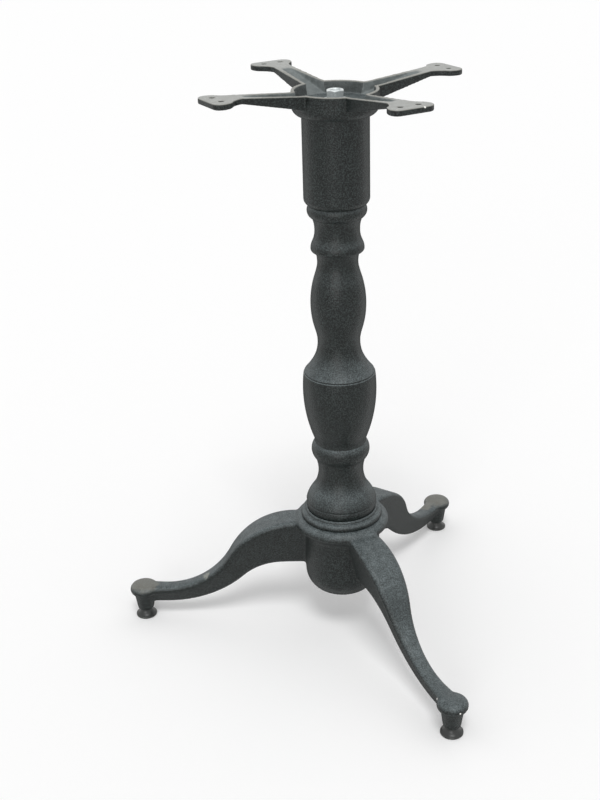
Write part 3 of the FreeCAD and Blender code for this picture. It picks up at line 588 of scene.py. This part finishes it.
def blurred(path, reach):
    """A path whose every point is the Gaussian mean of its neighbours within about 3 reaches."""
    steps = np.arange(-math.ceil(3 * reach), math.ceil(3 * reach) + 1)
    weights = np.exp(-0.5 * (steps / reach) ** 2)
    weights /= weights.sum()
    span = steps[-1]
    padded = np.concatenate([2 * path[0] - path[span:0:-1], path, 2 * path[-1] - path[-2:-span - 2:-1]])
    return np.stack([np.convolve(padded[:, axis], weights, "valid") for axis in (0, 1)], 1)


def soften(profile, blur, row_length=2.2, row_turn=8.0, melts=(), melt_blur=4.2, step=0.15):
    """Blurs a profile along its length, then keeps rows where it is long or bends.

    The profile is walked in equal steps. Near each height in melts, within its reach, the blur
    grows to melt_blur, by a share of e to minus the fourth power of the distance over the reach.
    Each row_length millimetres and each row_turn degrees of bend cost one row, so that the rows
    stand close where the profile turns.
    """
    lengths = np.hypot(*np.diff(profile, axis=0).T)
    way = np.concatenate([[0.0], np.cumsum(lengths)])
    even = np.arange(0.0, way[-1], step)
    path = np.stack([np.interp(even, way, profile[:, axis]) for axis in (0, 1)], 1)
    crisp = blurred(path, blur / step) if blur else path
    if melts:
        share = sum(np.exp(-((path[:, 1:] - height) / reach) ** 4) for height, reach in melts)
        crisp = crisp + np.minimum(share, 1.0) * (blurred(path, melt_blur / step) - crisp)
    path = np.concatenate([crisp, profile[-1:]])
    steps = np.diff(path, axis=0)
    heading = np.unwrap(np.arctan2(steps[:, 1], steps[:, 0]))
    bend = np.concatenate([[0.0], np.abs(np.diff(heading))])
    price = np.hypot(*steps.T) / row_length + np.degrees(bend) / row_turn
    cost = np.concatenate([[0.0], np.cumsum(price)])
    wanted = np.linspace(0.0, cost[-1], math.ceil(cost[-1]) + 1)
    return np.stack([np.interp(wanted, cost, path[:, axis]) for axis in (0, 1)], 1)


def turned(profile, columns, centre=(0.0, 0.0)):
    """Carries a profile round an upright axis: radius times cosine and sine, and the height."""
    angle = np.linspace(0.0, 2.0 * math.pi, columns, endpoint=False)
    radius, height = profile[:, :1], profile[:, 1:]
    level = height + 0.0 * angle
    return np.stack([centre[0] + radius * np.cos(angle), centre[1] + radius * np.sin(angle), level], -1)


print("a bow of 10 mm with a bulge of 1 mm has", len(bow((0, 0), (0, 10), 1.0)), "points")

# %% [markdown]
# A finished mesh goes into the scene as an object at the origin. It gets its finish and the body
# that it moves with, and it says which solid it stands for, so that the solid is hidden.

# %% Placing a piece
def place_piece(name, mesh, material, slot, body, *stands_for):
    """Puts a mesh into the scene with its finish and body, and hides the nodes it stands for."""
    piece = bpy.data.objects.new(name, mesh)
    bpy.context.scene.collection.objects.link(piece)
    mesh.materials.clear()
    mesh.materials.append(material)
    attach(piece, body)
    if stands_for:
        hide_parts(*stands_for)
    mesh.calc_loop_triangles()
    print(f"{name}: {len(mesh.loop_triangles)} triangles")


print("a placed piece can stand for any of", len(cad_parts), "solids")

# %% [markdown]
# The column was turned as a wooden pattern and cast hollow. From the foot up it has a heavy
# bead, a bell, a low vase, a waist, a second slimmer vase, a double bead and the plain
# cylinder. Each moulding is one line of the table below: the radius where it starts, its
# length up the axis and how far it swells. The solid model has nearly the same mouldings with
# knife edges. Here the profile is softened, so that every edge catches a thin line of light, and
# a few mouldings are melted further: each melt is a height and how far its softness reaches.

# %% Column
SEAT = 171.0
COLUMN_TOP = 684.5
MOULDINGS = [
    (42.6, 4.0, 0.0), (43.4, 11.0, 1.6), (44.2, 1.2, 0.0), (45.3, 19.8, 1.5),
    (34.2, 41.0, -4.3), (32.2, 23.0, 4.6), (32.5, 5.0, 0.0), (33.0, 90.0, 5.6),
    (44.6, 0.8, 0.0), (43.2, 1.4, 0.0), (43.6, 14.0, -0.4), (33.0, 44.8, -5.2),
    (30.0, 71.3, 5.5), (26.4, 24.0, -1.9), (26.6, 0.5, 0.0), (28.4, 5.5, 1.5),
    (32.4, 3.5, 0.4), (32.4, 13.0, -1.2), (27.0, 20.0, -1.3), (30.0, 0.5, 0.0),
    (31.2, 14.5, 3.2), (33.4, 1.2, 0.0), (34.6, 7.8, 1.3),
]
CYLINDER_RADIUS = 39.0
CORE_TOP_RADIUS = 33.0
CORE = [
    (38.5, 0.0), (38.5, 12.0), (19.5, 26.0), (19.5, 57.0), (38.5, 50.0), (38.5, 38.0),
    (19.5, 32.0), (19.5, 184.0), (CORE_TOP_RADIUS, 28.0),
]
EDGE_BLUR = 0.35
MELTS = [(208.0, 13.0), (381.0, 8.5), (426.0, 10.0), (497.0, 8.0), (534.5, 7.5), (547.0, 7.5)]

rises = SEAT + np.concatenate([[0.0], np.cumsum([length for _, length, _ in MOULDINGS])])
outside = [(radius, height, swell) for (radius, _, swell), height in zip(MOULDINGS, rises)]
outside += [(CYLINDER_RADIUS, rises[-1], 0.0), (CYLINDER_RADIUS, COLUMN_TOP)]
core_rises = SEAT + np.cumsum([length for _, length in CORE])
inside = [(radius, height) for (radius, _), height in zip(CORE, core_rises)]
inside += [(CORE_TOP_RADIUS, COLUMN_TOP)]
skin = soften(chain(outside), EDGE_BLUR, melts=MELTS)
hollow = soften(chain(inside), blur=2.0, row_length=6.0)[::-1]
column_grid = turned(np.concatenate([skin, hollow]), columns=112)
column_mesh = surface("column_casting", column_grid, loop=True)
place_piece("column_casting", column_mesh, plain_coat, "powder_coat", "base", "column")

# %% [markdown]
# The tripod is one casting: a hub like an upturned cup, three legs and a rounded toe at the end
# of each. A leg is easiest to say as two curves seen from the side, its back and its belly, and
# a cross-section that is stretched between them: a box with rounded corners, a slightly crowned
# back, and sides that lean in towards the belly, so that the casting leaves its mould. They lean
# more here than on the solid model, and the belly is rounder, as the photograph shows them.

# %% Leg
LEG_AZIMUTHS = (-48.0, 72.0, 192.0)
FOOT_RADIUS = 270.8
BACK_ROOT, BACK_TOE, BACK_SHARE = (57.0, 158.0), (244.0, 48.4), 0.502
BELLY_ROOT, BELLY_TOE, BELLY_SHARE = (80.5, 87.8), (238.0, 22.8), 0.32
ROOT_WIDTH, TOE_WIDTH, SIDE_BOW, DRAFT = 29.4, 25.0, 1.8, 11.5
BACK_ROUNDING, BELLY_ROUNDING, ROUNDING_LIMIT = 5.6, 6.5, 0.9
BACK_CROWN = 1.1
LEG_START, LEG_END = 44.0, 268.0


def s_bend(start, finish, share, count):
    """Two arcs that leave start level, meet on the chord at share, and reach finish level.

    Both turn by twice the chord's slope, so a point at the share t of an arc has turned t of that.
    """
    start, finish = np.array(start), np.array(finish)
    across, drop = finish[0] - start[0], start[1] - finish[1]
    turn = 2.0 * math.atan2(drop, across)
    both = (across ** 2 + drop ** 2) / (2.0 * drop)
    angle = np.linspace(0.0, turn, count)
    first, second = share * both, (1.0 - share) * both
    down = start + first * np.stack([np.sin(angle), np.cos(angle) - 1.0], 1)
    up = finish + second * np.stack([-np.sin(angle[::-1]), 1.0 - np.cos(angle[::-1])], 1)
    return np.concatenate([down, up[1:]])


def run(start, finish, count):
    """Evenly spaced points from start up to, and without, finish."""
    return np.linspace(start, finish, count, endpoint=False)


def leg_grid(azimuth, ring=10):
    """The leg as sections between back and belly: corner arcs of ring points, four to a section.

    A section stands on the line from a point of the belly to the point of the back with the same
    number. Its corners are quarter circles, and its top falls off from the middle by BACK_CROWN
    times the square of the way to the side. Last, all the sections are turned to the azimuth.
    """
    inner, outer, curve = 8, 8, 40
    back = np.concatenate([
        run((LEG_START, BACK_ROOT[1]), BACK_ROOT, inner),
        s_bend(BACK_ROOT, BACK_TOE, BACK_SHARE, curve),
        run((LEG_END, BACK_TOE[1]), BACK_TOE, outer)[::-1],
    ])
    belly = np.concatenate([
        run((LEG_START, BELLY_ROOT[1]), BELLY_ROOT, inner),
        s_bend(BELLY_ROOT, BELLY_TOE, BELLY_SHARE, curve),
        run((LEG_END, BELLY_TOE[1]), BELLY_TOE, outer)[::-1],
    ])
    lean = math.tan(math.radians(DRAFT))
    far = TOE_WIDTH / 2 + (BACK_ROOT[1] - BACK_TOE[1]) * lean

    def half_width(points):
        """Even growth from axis to toe, plus a parabola of height SIDE_BOW, less the lean."""
        out = points[:, 0] / FOOT_RADIUS
        plan = ROOT_WIDTH / 2 + (far - ROOT_WIDTH / 2) * out + 4.0 * SIDE_BOW * out * (1.0 - out)
        return plan - (BACK_ROOT[1] - points[:, 1]) * lean

    wide, narrow = half_width(back)[:, None], half_width(belly)[:, None]
    quarter = np.linspace(0.0, math.pi / 2, ring)
    spine = back - belly
    tall = np.hypot(*spine.T)[:, None]
    corners = []
    for side, top in ((1, 1), (-1, 1), (-1, 0), (1, 0)):
        rounding = BACK_ROUNDING if top else BELLY_ROUNDING
        rounding = np.minimum(rounding, ROUNDING_LIMIT * (wide if top else narrow))
        angle = quarter if (side > 0) == bool(top) else quarter[::-1]
        across = side * ((wide if top else narrow) - rounding + rounding * np.cos(angle))
        up = rounding * (1.0 - np.sin(angle)) + BACK_CROWN * top * (across / wide) ** 2
        corners.append(np.stack([across, tall - up if top else up], -1))
    section = np.concatenate(corners, 1)
    share = (section[:, :, 1] / tall)[:, :, None]
    line = belly[:, None, :] + share * spine[:, None, :]
    turn = math.radians(azimuth)
    radius, across = line[:, :, 0], section[:, :, 0]
    return np.stack([
        radius * math.cos(turn) - across * math.sin(turn),
        radius * math.sin(turn) + across * math.cos(turn),
        line[:, :, 1],
    ], -1)


print("one leg is a grid of", leg_grid(0.0).shape[:2], "points")

# %% [markdown]
# The hub is turned as the column is. It is hollow from below, and a thick web closes its top for
# the column to stand on. Each toe is a rounded pad over a tapered boss, turned about the axis of
# its own glide.

# %% Hub and toes
SEAT_RADIUS, RIM_RADIUS, COLLAR_RADIUS, GROOVE_RADIUS = 44.2, 46.6, 47.1, 51.6
SHOULDER_RADIUS, UNDER_RADIUS, CUP_RADIUS = 61.5, 59.7, 49.4
CUP_FOOT, CUP_BOTTOM, WEB_UNDER = 82.0, 58.0, 151.0
CORE_RADIUS, MOUTH_RADIUS, ROD_HOLE = 40.9, 28.5, 7.0
HUB_TOP = SEAT - 7.4
HUB = [
    (MOUTH_RADIUS, CUP_BOTTOM), (36.0, CUP_BOTTOM, 3.2), (48.4, CUP_FOOT), (CUP_RADIUS, 139.0, -1.5),
    (UNDER_RADIUS, 150.5, 0.8), (SHOULDER_RADIUS, 155.8, 1.9), (GROOVE_RADIUS, HUB_TOP),
    (ROD_HOLE, HUB_TOP), (ROD_HOLE, WEB_UNDER), (CORE_RADIUS, WEB_UNDER), (CORE_RADIUS, CUP_FOOT),
    (MOUTH_RADIUS, CUP_BOTTOM),
]
TOE = [
    (0.5, 11.0), (10.8, 11.0), (14.2, 35.0), (14.4, 35.0, 5.7), (12.6, 48.4, 0.4), (0.5, 50.0),
]


def foot_place(azimuth):
    """Where the axis of a toe and its glide stands."""
    turn = math.radians(azimuth)
    return FOOT_RADIUS * math.cos(turn), FOOT_RADIUS * math.sin(turn)


print("toes at", [tuple(round(value, 1) for value in foot_place(azimuth)) for azimuth in LEG_AZIMUTHS])

# %% [markdown]
# Hub, legs and toes are made as separate closed shapes that overlap, and then cast together: a
# Remesh modifier in voxel mode wraps them in one even skin, and a few passes of smoothing round
# every inner corner, as the fillets in the pattern do. A boolean would keep the corners sharp,
# and modelling the fillets by hand would take far longer for the same look. The modifiers are
# applied by keeping the mesh that they make.

# %% Cast together
VOXEL, TRIPOD_SMOOTHING = 1.75, 6


def evaluated(name, mesh, modifiers):
    """A plain mesh of what the modifiers make of another."""
    carrier = bpy.data.objects.new(name + "_carrier", mesh)
    bpy.context.scene.collection.objects.link(carrier)
    for kind, settings in modifiers:
        modifier = carrier.modifiers.new(kind.lower(), kind)
        for key, value in settings.items():
            setattr(modifier, key, value)
    state = bpy.context.evaluated_depsgraph_get()
    finished = bpy.data.meshes.new_from_object(carrier.evaluated_get(state))
    finished.name = name
    bpy.data.objects.remove(carrier)
    return finished


def together(name, meshes):
    """One mesh that holds all the others."""
    gathered = bmesh.new()
    for mesh in meshes:
        gathered.from_mesh(mesh)
    joined = bpy.data.meshes.new(name)
    gathered.to_mesh(joined)
    gathered.free()
    return joined


def cast_skin(name, mesh, voxel, passes):
    """One rounded skin over shapes that overlap.

    Each pass of the smoothing moves a point half the way to the mean of its neighbours.
    """
    skin = evaluated(name, mesh, [
        ("REMESH", {"mode": "VOXEL", "voxel_size": voxel * MM, "use_smooth_shade": True}),
        ("SMOOTH", {"factor": 0.5, "iterations": passes}),
    ])
    skin.shade_smooth()
    return skin


hub_loop = soften(chain(HUB), blur=0.0, row_length=4.0)[:-1]
toe_profile = soften(chain(TOE), blur=0.0, row_length=2.5)
shapes = [surface("hub", turned(hub_loop, columns=128), loop=True)]
for azimuth in LEG_AZIMUTHS:
    shapes.append(surface("leg", leg_grid(azimuth)))
    shapes.append(surface("toe", turned(toe_profile, columns=48, centre=foot_place(azimuth))))
raw_tripod = together("raw_tripod", shapes)
tripod_skin = cast_skin("tripod_skin", raw_tripod, VOXEL, TRIPOD_SMOOTHING)
print("tripod skin:", len(tripod_skin.polygons), "faces")

# %% [markdown]
# The rings at the top of the hub are finer than the voxels: a rim that holds the column's foot,
# a round collar and a thin groove. So they are turned as the column is, as one crisp ring that
# sits in the top of the smoothed casting, and the two are kept as one piece.

# %% Tripod piece
COLLAR = [
    (ROD_HOLE, HUB_TOP - 3.0), (GROOVE_RADIUS - 1.0, HUB_TOP - 3.0), (GROOVE_RADIUS, HUB_TOP - 0.3),
    (52.2, 164.8, 2.2), (COLLAR_RADIUS, 171.6), (RIM_RADIUS, 172.4, 0.6), (SEAT_RADIUS, 175.0),
    (SEAT_RADIUS, SEAT), (ROD_HOLE, SEAT),
]
TRIPOD_CREASE = 50.0
collar_profile = soften(chain(COLLAR), blur=0.25, row_length=2.5)
collar = surface("collar", turned(collar_profile, columns=128), loop=True)
tripod_mesh = together("tripod_casting", [tripod_skin, collar])
tripod_mesh.set_sharp_from_angle(angle=math.radians(TRIPOD_CREASE))
place_piece("tripod_casting", tripod_mesh, plain_coat, "powder_coat", "base", "tripod_base")

# %% [markdown]
# The spider's shape comes from the solid model: channelled arms, flat pads with two screw holes,
# and a cup that sits on the column. A casting has no sharp edge anywhere, so a copy of the solid
# gets the same even skin and smoothing as the tripod, with smaller voxels because its walls are
# only three to four millimetres thick. The copy's loose triangles are joined first.

# %% Spider
SPIDER_VOXEL, SPIDER_SMOOTHING = 1.15, 3


def welded_copy(node, apart=1e-6):
    """A copy of a solid's mesh with its loose triangles joined at corners that coincide."""
    gathered = bmesh.new()
    gathered.from_mesh(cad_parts[node].data)
    bmesh.ops.remove_doubles(gathered, verts=gathered.verts, dist=apart)
    joined = bpy.data.meshes.new(node + "_welded")
    gathered.to_mesh(joined)
    gathered.free()
    return joined


spider_mesh = cast_skin("spider_casting", welded_copy("top_spider"), SPIDER_VOXEL, SPIDER_SMOOTHING)
place_piece("spider_casting", spider_mesh, plain_coat, "powder_coat", "base", "top_spider")

# %% [markdown]
# Threads, nuts and washers are small, but a bare cylinder would give them away. A thread is the
# simplest surface of two parameters there is: the radius rises and falls with the height, and
# the whole wave moves on by one pitch for each turn round the axis. A Screw modifier would wind
# a thread as well, but it leaves both ends open.

# %% Threads
BAR_CHAMFER = 1.0
ROWS_A_PITCH = 8.0


def wave(height, angle, pitch):
    """Rounded thread wave from 0 to 1: it repeats each pitch, and climbs one pitch a turn."""
    return 0.5 + 0.5 * np.cos(2.0 * math.pi * (height / pitch) - angle)


def threaded(low, high, radius, pitch, depth, spans, centre=(0.0, 0.0), columns=36):
    """A bar from low to high with thread over the spans and a small chamfer at each end.

    The radius is full where the wave is 1 and smaller by depth where it is 0. Between the
    spans the bar is plain. Near an end it is no more than the chamfer's cone.
    """
    rows = [np.arange(start, stop, pitch / ROWS_A_PITCH) for start, stop in spans]
    height = np.unique(np.concatenate([[low, high], *rows]))[:, None]
    angle = np.linspace(0.0, 2.0 * math.pi, columns, endpoint=False)[None, :]
    cut = sum(((height >= start) & (height <= stop)) * 1.0 for start, stop in spans)
    size = radius - depth * cut * (1.0 - wave(height, angle, pitch))
    cone = radius - BAR_CHAMFER + np.minimum(height - low, high - height)
    size = np.minimum(size, cone)
    level = height + 0.0 * angle
    return np.stack([centre[0] + size * np.cos(angle), centre[1] + size * np.sin(angle), level], -1)


print("threads have", ROWS_A_PITCH, "rows to a pitch")

# %% [markdown]
# A nut is a hexagon cut by a cone: its radius is the smaller of the two at every angle, which
# draws the curved chamfers that a real nut has from the lathe. Cutting the cone with a boolean
# gives the same edges, but with long thin faces beside them.

# %% Nuts
NUT_CHAMFER, CHAMFER_ROWS, CONE_INSET, CONE_SLOPE = 1.6, 9, 0.7, 1.73
BORE_CHAMFER = 0.7


def nut_grid(low, high, flats, azimuth, bore, pitch, depth, columns=144):
    """A hexagon nut with both faces chamfered and a threaded bore, as one closed loop of rows.

    Outside, the radius is the smaller of the hexagon's, half the flats over the cosine of the
    angle from the flat's middle, and a cone's, which starts inside the flats on either face. The
    bore follows the thread's wave and opens in a cone at both faces.
    """
    angle = np.linspace(0.0, 2.0 * math.pi, columns, endpoint=False)[None, :]
    from_flat = (angle - math.radians(azimuth + 30.0) + math.pi / 6) % (math.pi / 3) - math.pi / 6
    hexagon = flats / 2 / np.cos(from_flat)
    ends = np.append(np.linspace(0.0, NUT_CHAMFER, CHAMFER_ROWS), high - low - NUT_CHAMFER)
    height = np.unique(np.concatenate([low + ends, high - ends]))[:, None]
    cone = flats / 2 - CONE_INSET + np.minimum(height - low, high - height) * CONE_SLOPE
    outer = np.minimum(hexagon, cone)
    inner_height = np.arange(high, low, -pitch / ROWS_A_PITCH)[:, None]
    mouth = np.minimum(inner_height - low, high - inner_height)
    thread = depth * (1.0 - wave(inner_height, angle, pitch))
    inner = bore + thread + np.maximum(0.0, BORE_CHAMFER - mouth)
    size = np.concatenate([outer, inner])
    level = np.concatenate([height + 0.0 * angle, inner_height + 0.0 * angle])
    return np.stack([size * np.cos(angle), size * np.sin(angle), level], -1)


print("nut chamfers", NUT_CHAMFER, "mm high at most")

# %% [markdown]
# The rod runs through the whole column and is threaded only at its ends. The upper nut stands in
# the spider's well, in plain sight, and the lower one hides in the hub. Both are the same nut.

# %% Tie rod and its nuts
ROD_RADIUS, ROD_PITCH, ROD_DEPTH, ROD_THREAD = 6.0, 1.75, 0.85, 38.0
WELL_FLOOR, WASHER, NUT = 699.0, 2.5, 10.8
NUT_FLATS, NUT_AZIMUTH, NUT_BORE, NUT_DEPTH = 19.0, 44.0, 6.1, 0.7
ROD_PAST_NUT, ROD_IN_NUT = 3.5, 1.3
TOP_NUT = WELL_FLOOR + WASHER
BOTTOM_NUT = WEB_UNDER - WASHER - NUT
ROD_LOW, ROD_HIGH = BOTTOM_NUT - ROD_PAST_NUT, TOP_NUT + NUT - ROD_IN_NUT
rod_grid = threaded(ROD_LOW, ROD_HIGH, ROD_RADIUS, ROD_PITCH, ROD_DEPTH,
                    [(ROD_LOW, ROD_LOW + ROD_THREAD), (ROD_HIGH - ROD_THREAD, ROD_HIGH)])
rod_mesh = surface("tie_rod_threaded", rod_grid)
place_piece("tie_rod_threaded", rod_mesh, bright_zinc, "zinc_plate", "base", "tie_rod")
for name, low in (("top_nut", TOP_NUT), ("bottom_nut", BOTTOM_NUT)):
    grid = nut_grid(low, low + NUT, NUT_FLATS, NUT_AZIMUTH, NUT_BORE, ROD_PITCH, NUT_DEPTH)
    mesh = surface(name + "_chamfered", grid, loop=True, crease=24.0)
    place_piece(name + "_chamfered", mesh, bright_zinc, "zinc_plate", "base", name)

# %% [markdown]
# A washer is stamped from plate and tumbled before it is plated, so its edges are faintly round.
# Its profile is a closed loop, softened and turned round the same axis as the rod.

# %% Washers
WASHER_HOLE, WASHER_RADIUS = 6.75, 15.5
for name, low in (("top_washer", WELL_FLOOR), ("bottom_washer", WEB_UNDER - WASHER)):
    ring = [
        (WASHER_HOLE, low), (WASHER_RADIUS, low), (WASHER_RADIUS, low + WASHER),
        (WASHER_HOLE, low + WASHER), (WASHER_HOLE, low),
    ]
    profile = soften(chain(ring), blur=0.2, row_length=2.0)[:-1]
    mesh = surface(name + "_stamped", turned(profile, columns=72), loop=True)
    place_piece(name + "_stamped", mesh, bright_zinc, "zinc_plate", "base", name)

# %% [markdown]
# Each toe stands on a levelling glide: a moulded disc with a hollowed cone, and a threaded stud
# that turns up into the toe. The glides move by themselves, so each rides on its own body. The
# disc's underside is relieved, so that it stands on a ring, as moulded glides do.

# %% Glides
GLIDE = [
    (0.4, 0.7), (9.0, 0.7), (10.0, 0.0), (13.3, 0.0), (14.0, 0.6), (14.0, 2.4), (12.4, 3.2, -0.8),
    (8.0, 9.0), (8.0, 10.4), (4.1, 10.4), (4.1, 2.5), (0.4, 2.5),
]
STUD_RADIUS, STUD_PITCH, STUD_DEPTH = 4.0, 1.25, 0.6
STUD_LOW, STUD_HIGH, STUD_PLAIN = 2.5, 38.0, 1.0
glide_profile = soften(chain(GLIDE), blur=0.22, row_length=1.5)
for side, azimuth in zip(("front", "back", "left"), LEG_AZIMUTHS):
    centre = foot_place(azimuth)
    body = "glide_" + side
    disc_mesh = surface(body + "_disc", turned(glide_profile, columns=72, centre=centre))
    place_piece(body + "_disc", disc_mesh, black_nylon, "glide_plastic", body, "glide_foot_" + side)
    stud_grid = threaded(STUD_LOW, STUD_HIGH, STUD_RADIUS, STUD_PITCH, STUD_DEPTH,
                         [(STUD_LOW + STUD_PLAIN, STUD_HIGH)], centre)
    stud_name = body + "_stud_threaded"
    stud_mesh = surface(stud_name, stud_grid)
    place_piece(stud_name, stud_mesh, bright_zinc, "zinc_plate", body, "glide_stud_" + side)

# %% [markdown]
# The stage is a pale matt floor that runs out past the picture's edge, so that it needs no
# backdrop: far out it is as bright as the surroundings. It lies a hair below the glides, because
# two faces in the same place render in patches.

# %% Floor
FLOOR_REACH_M = 16.0
FLOOR_DROP_M = 0.0002
FLOOR_COLOUR, FLOOR_ROUGHNESS = "#FEFEFE", 0.9

floor_mesh = bpy.data.meshes.new("floor")
square = FLOOR_REACH_M * np.array([(-1, -1), (1, -1), (1, 1), (-1, 1)])
floor_mesh.from_pydata([(x, y, -FLOOR_DROP_M) for x, y in square.tolist()], [], [(0, 1, 2, 3)])
floor = bpy.data.objects.new("floor", floor_mesh)
bpy.context.scene.collection.objects.link(floor)
matt_white, floor_tree, _ = start_material("floor_matt_white")
finish_material(floor_tree, {
    "Base Color": linear(FLOOR_COLOUR), "Roughness": FLOOR_ROUGHNESS, "Specular IOR Level": 0.0,
})
floor_mesh.materials.append(matt_white)
print("floor", 2 * FLOOR_REACH_M, "m square")

# %% [markdown]
# A broad soft lamp high in front draws a pale sheen on every upward slope and puts a soft shadow
# under and behind the hub and legs. A weak low lamp in front lifts the shaded undersides a
# little. The rest of the light comes evenly from all round. Together they light a level surface
# with a strength of one, so a colour renders about as it is written: a lamp gives such a surface
# its strength times the sine of its elevation, over pi, and the high lamp makes up what the
# others leave.

# %% Lamps
AMBIENT = 0.66
KEY_ELEVATION, KEY_AZIMUTH, KEY_SPREAD = 63.0, -72.0, 20.0
FILL_STRENGTH, FILL_ELEVATION, FILL_AZIMUTH, FILL_SPREAD = 0.8, 12.0, -88.0, 30.0


def lamp(name, strength, elevation, azimuth, spread):
    """A far soft lamp, as wide as the angle spread, that shines from a direction in degrees."""
    data = bpy.data.lights.new(name, "SUN")
    data.angle = math.radians(spread)
    data.energy = strength
    holder = bpy.data.objects.new(name, data)
    holder.rotation_euler = (math.radians(90.0 - elevation), 0.0, math.radians(azimuth + 90.0))
    bpy.context.scene.collection.objects.link(holder)


fill_share = FILL_STRENGTH * math.sin(math.radians(FILL_ELEVATION)) / math.pi
key_strength = (1.0 - AMBIENT - fill_share) * math.pi / math.sin(math.radians(KEY_ELEVATION))
lamp("high_key", key_strength, KEY_ELEVATION, KEY_AZIMUTH, KEY_SPREAD)
lamp("front_fill", FILL_STRENGTH, FILL_ELEVATION, FILL_AZIMUTH, FILL_SPREAD)
print("high lamp", round(key_strength, 2), "and low lamp", FILL_STRENGTH)

# %% [markdown]
# The surroundings light the base with a strength below one. The camera and every reflection see
# them as plain white, so that the background is white and the zinc has a white room to mirror.

# %% Surroundings
world = bpy.data.worlds.new("studio")
world.use_nodes = True
bpy.context.scene.world = world
sky = world.node_tree
sky.nodes.clear()
rays = add_node(sky, "ShaderNodeLightPath").outputs
seen = rays["Is Camera Ray"]
for kind in ("Is Glossy Ray", "Is Transmission Ray"):
    seen = add_node(sky, "ShaderNodeMath", {"operation": "MAXIMUM"}, {0: seen, 1: rays[kind]})
strength = add_node(sky, "ShaderNodeMapRange", {}, {"Value": seen, "To Min": AMBIENT, "To Max": 1.0})
surroundings = add_node(sky, "ShaderNodeBackground", {},
                        {"Color": linear("#FFFFFF"), "Strength": strength})
add_node(sky, "ShaderNodeOutputWorld", {}, {"Surface": surroundings})
bpy.context.scene.view_settings.view_transform = "Standard"
print("surroundings light with", AMBIENT, "and look white")
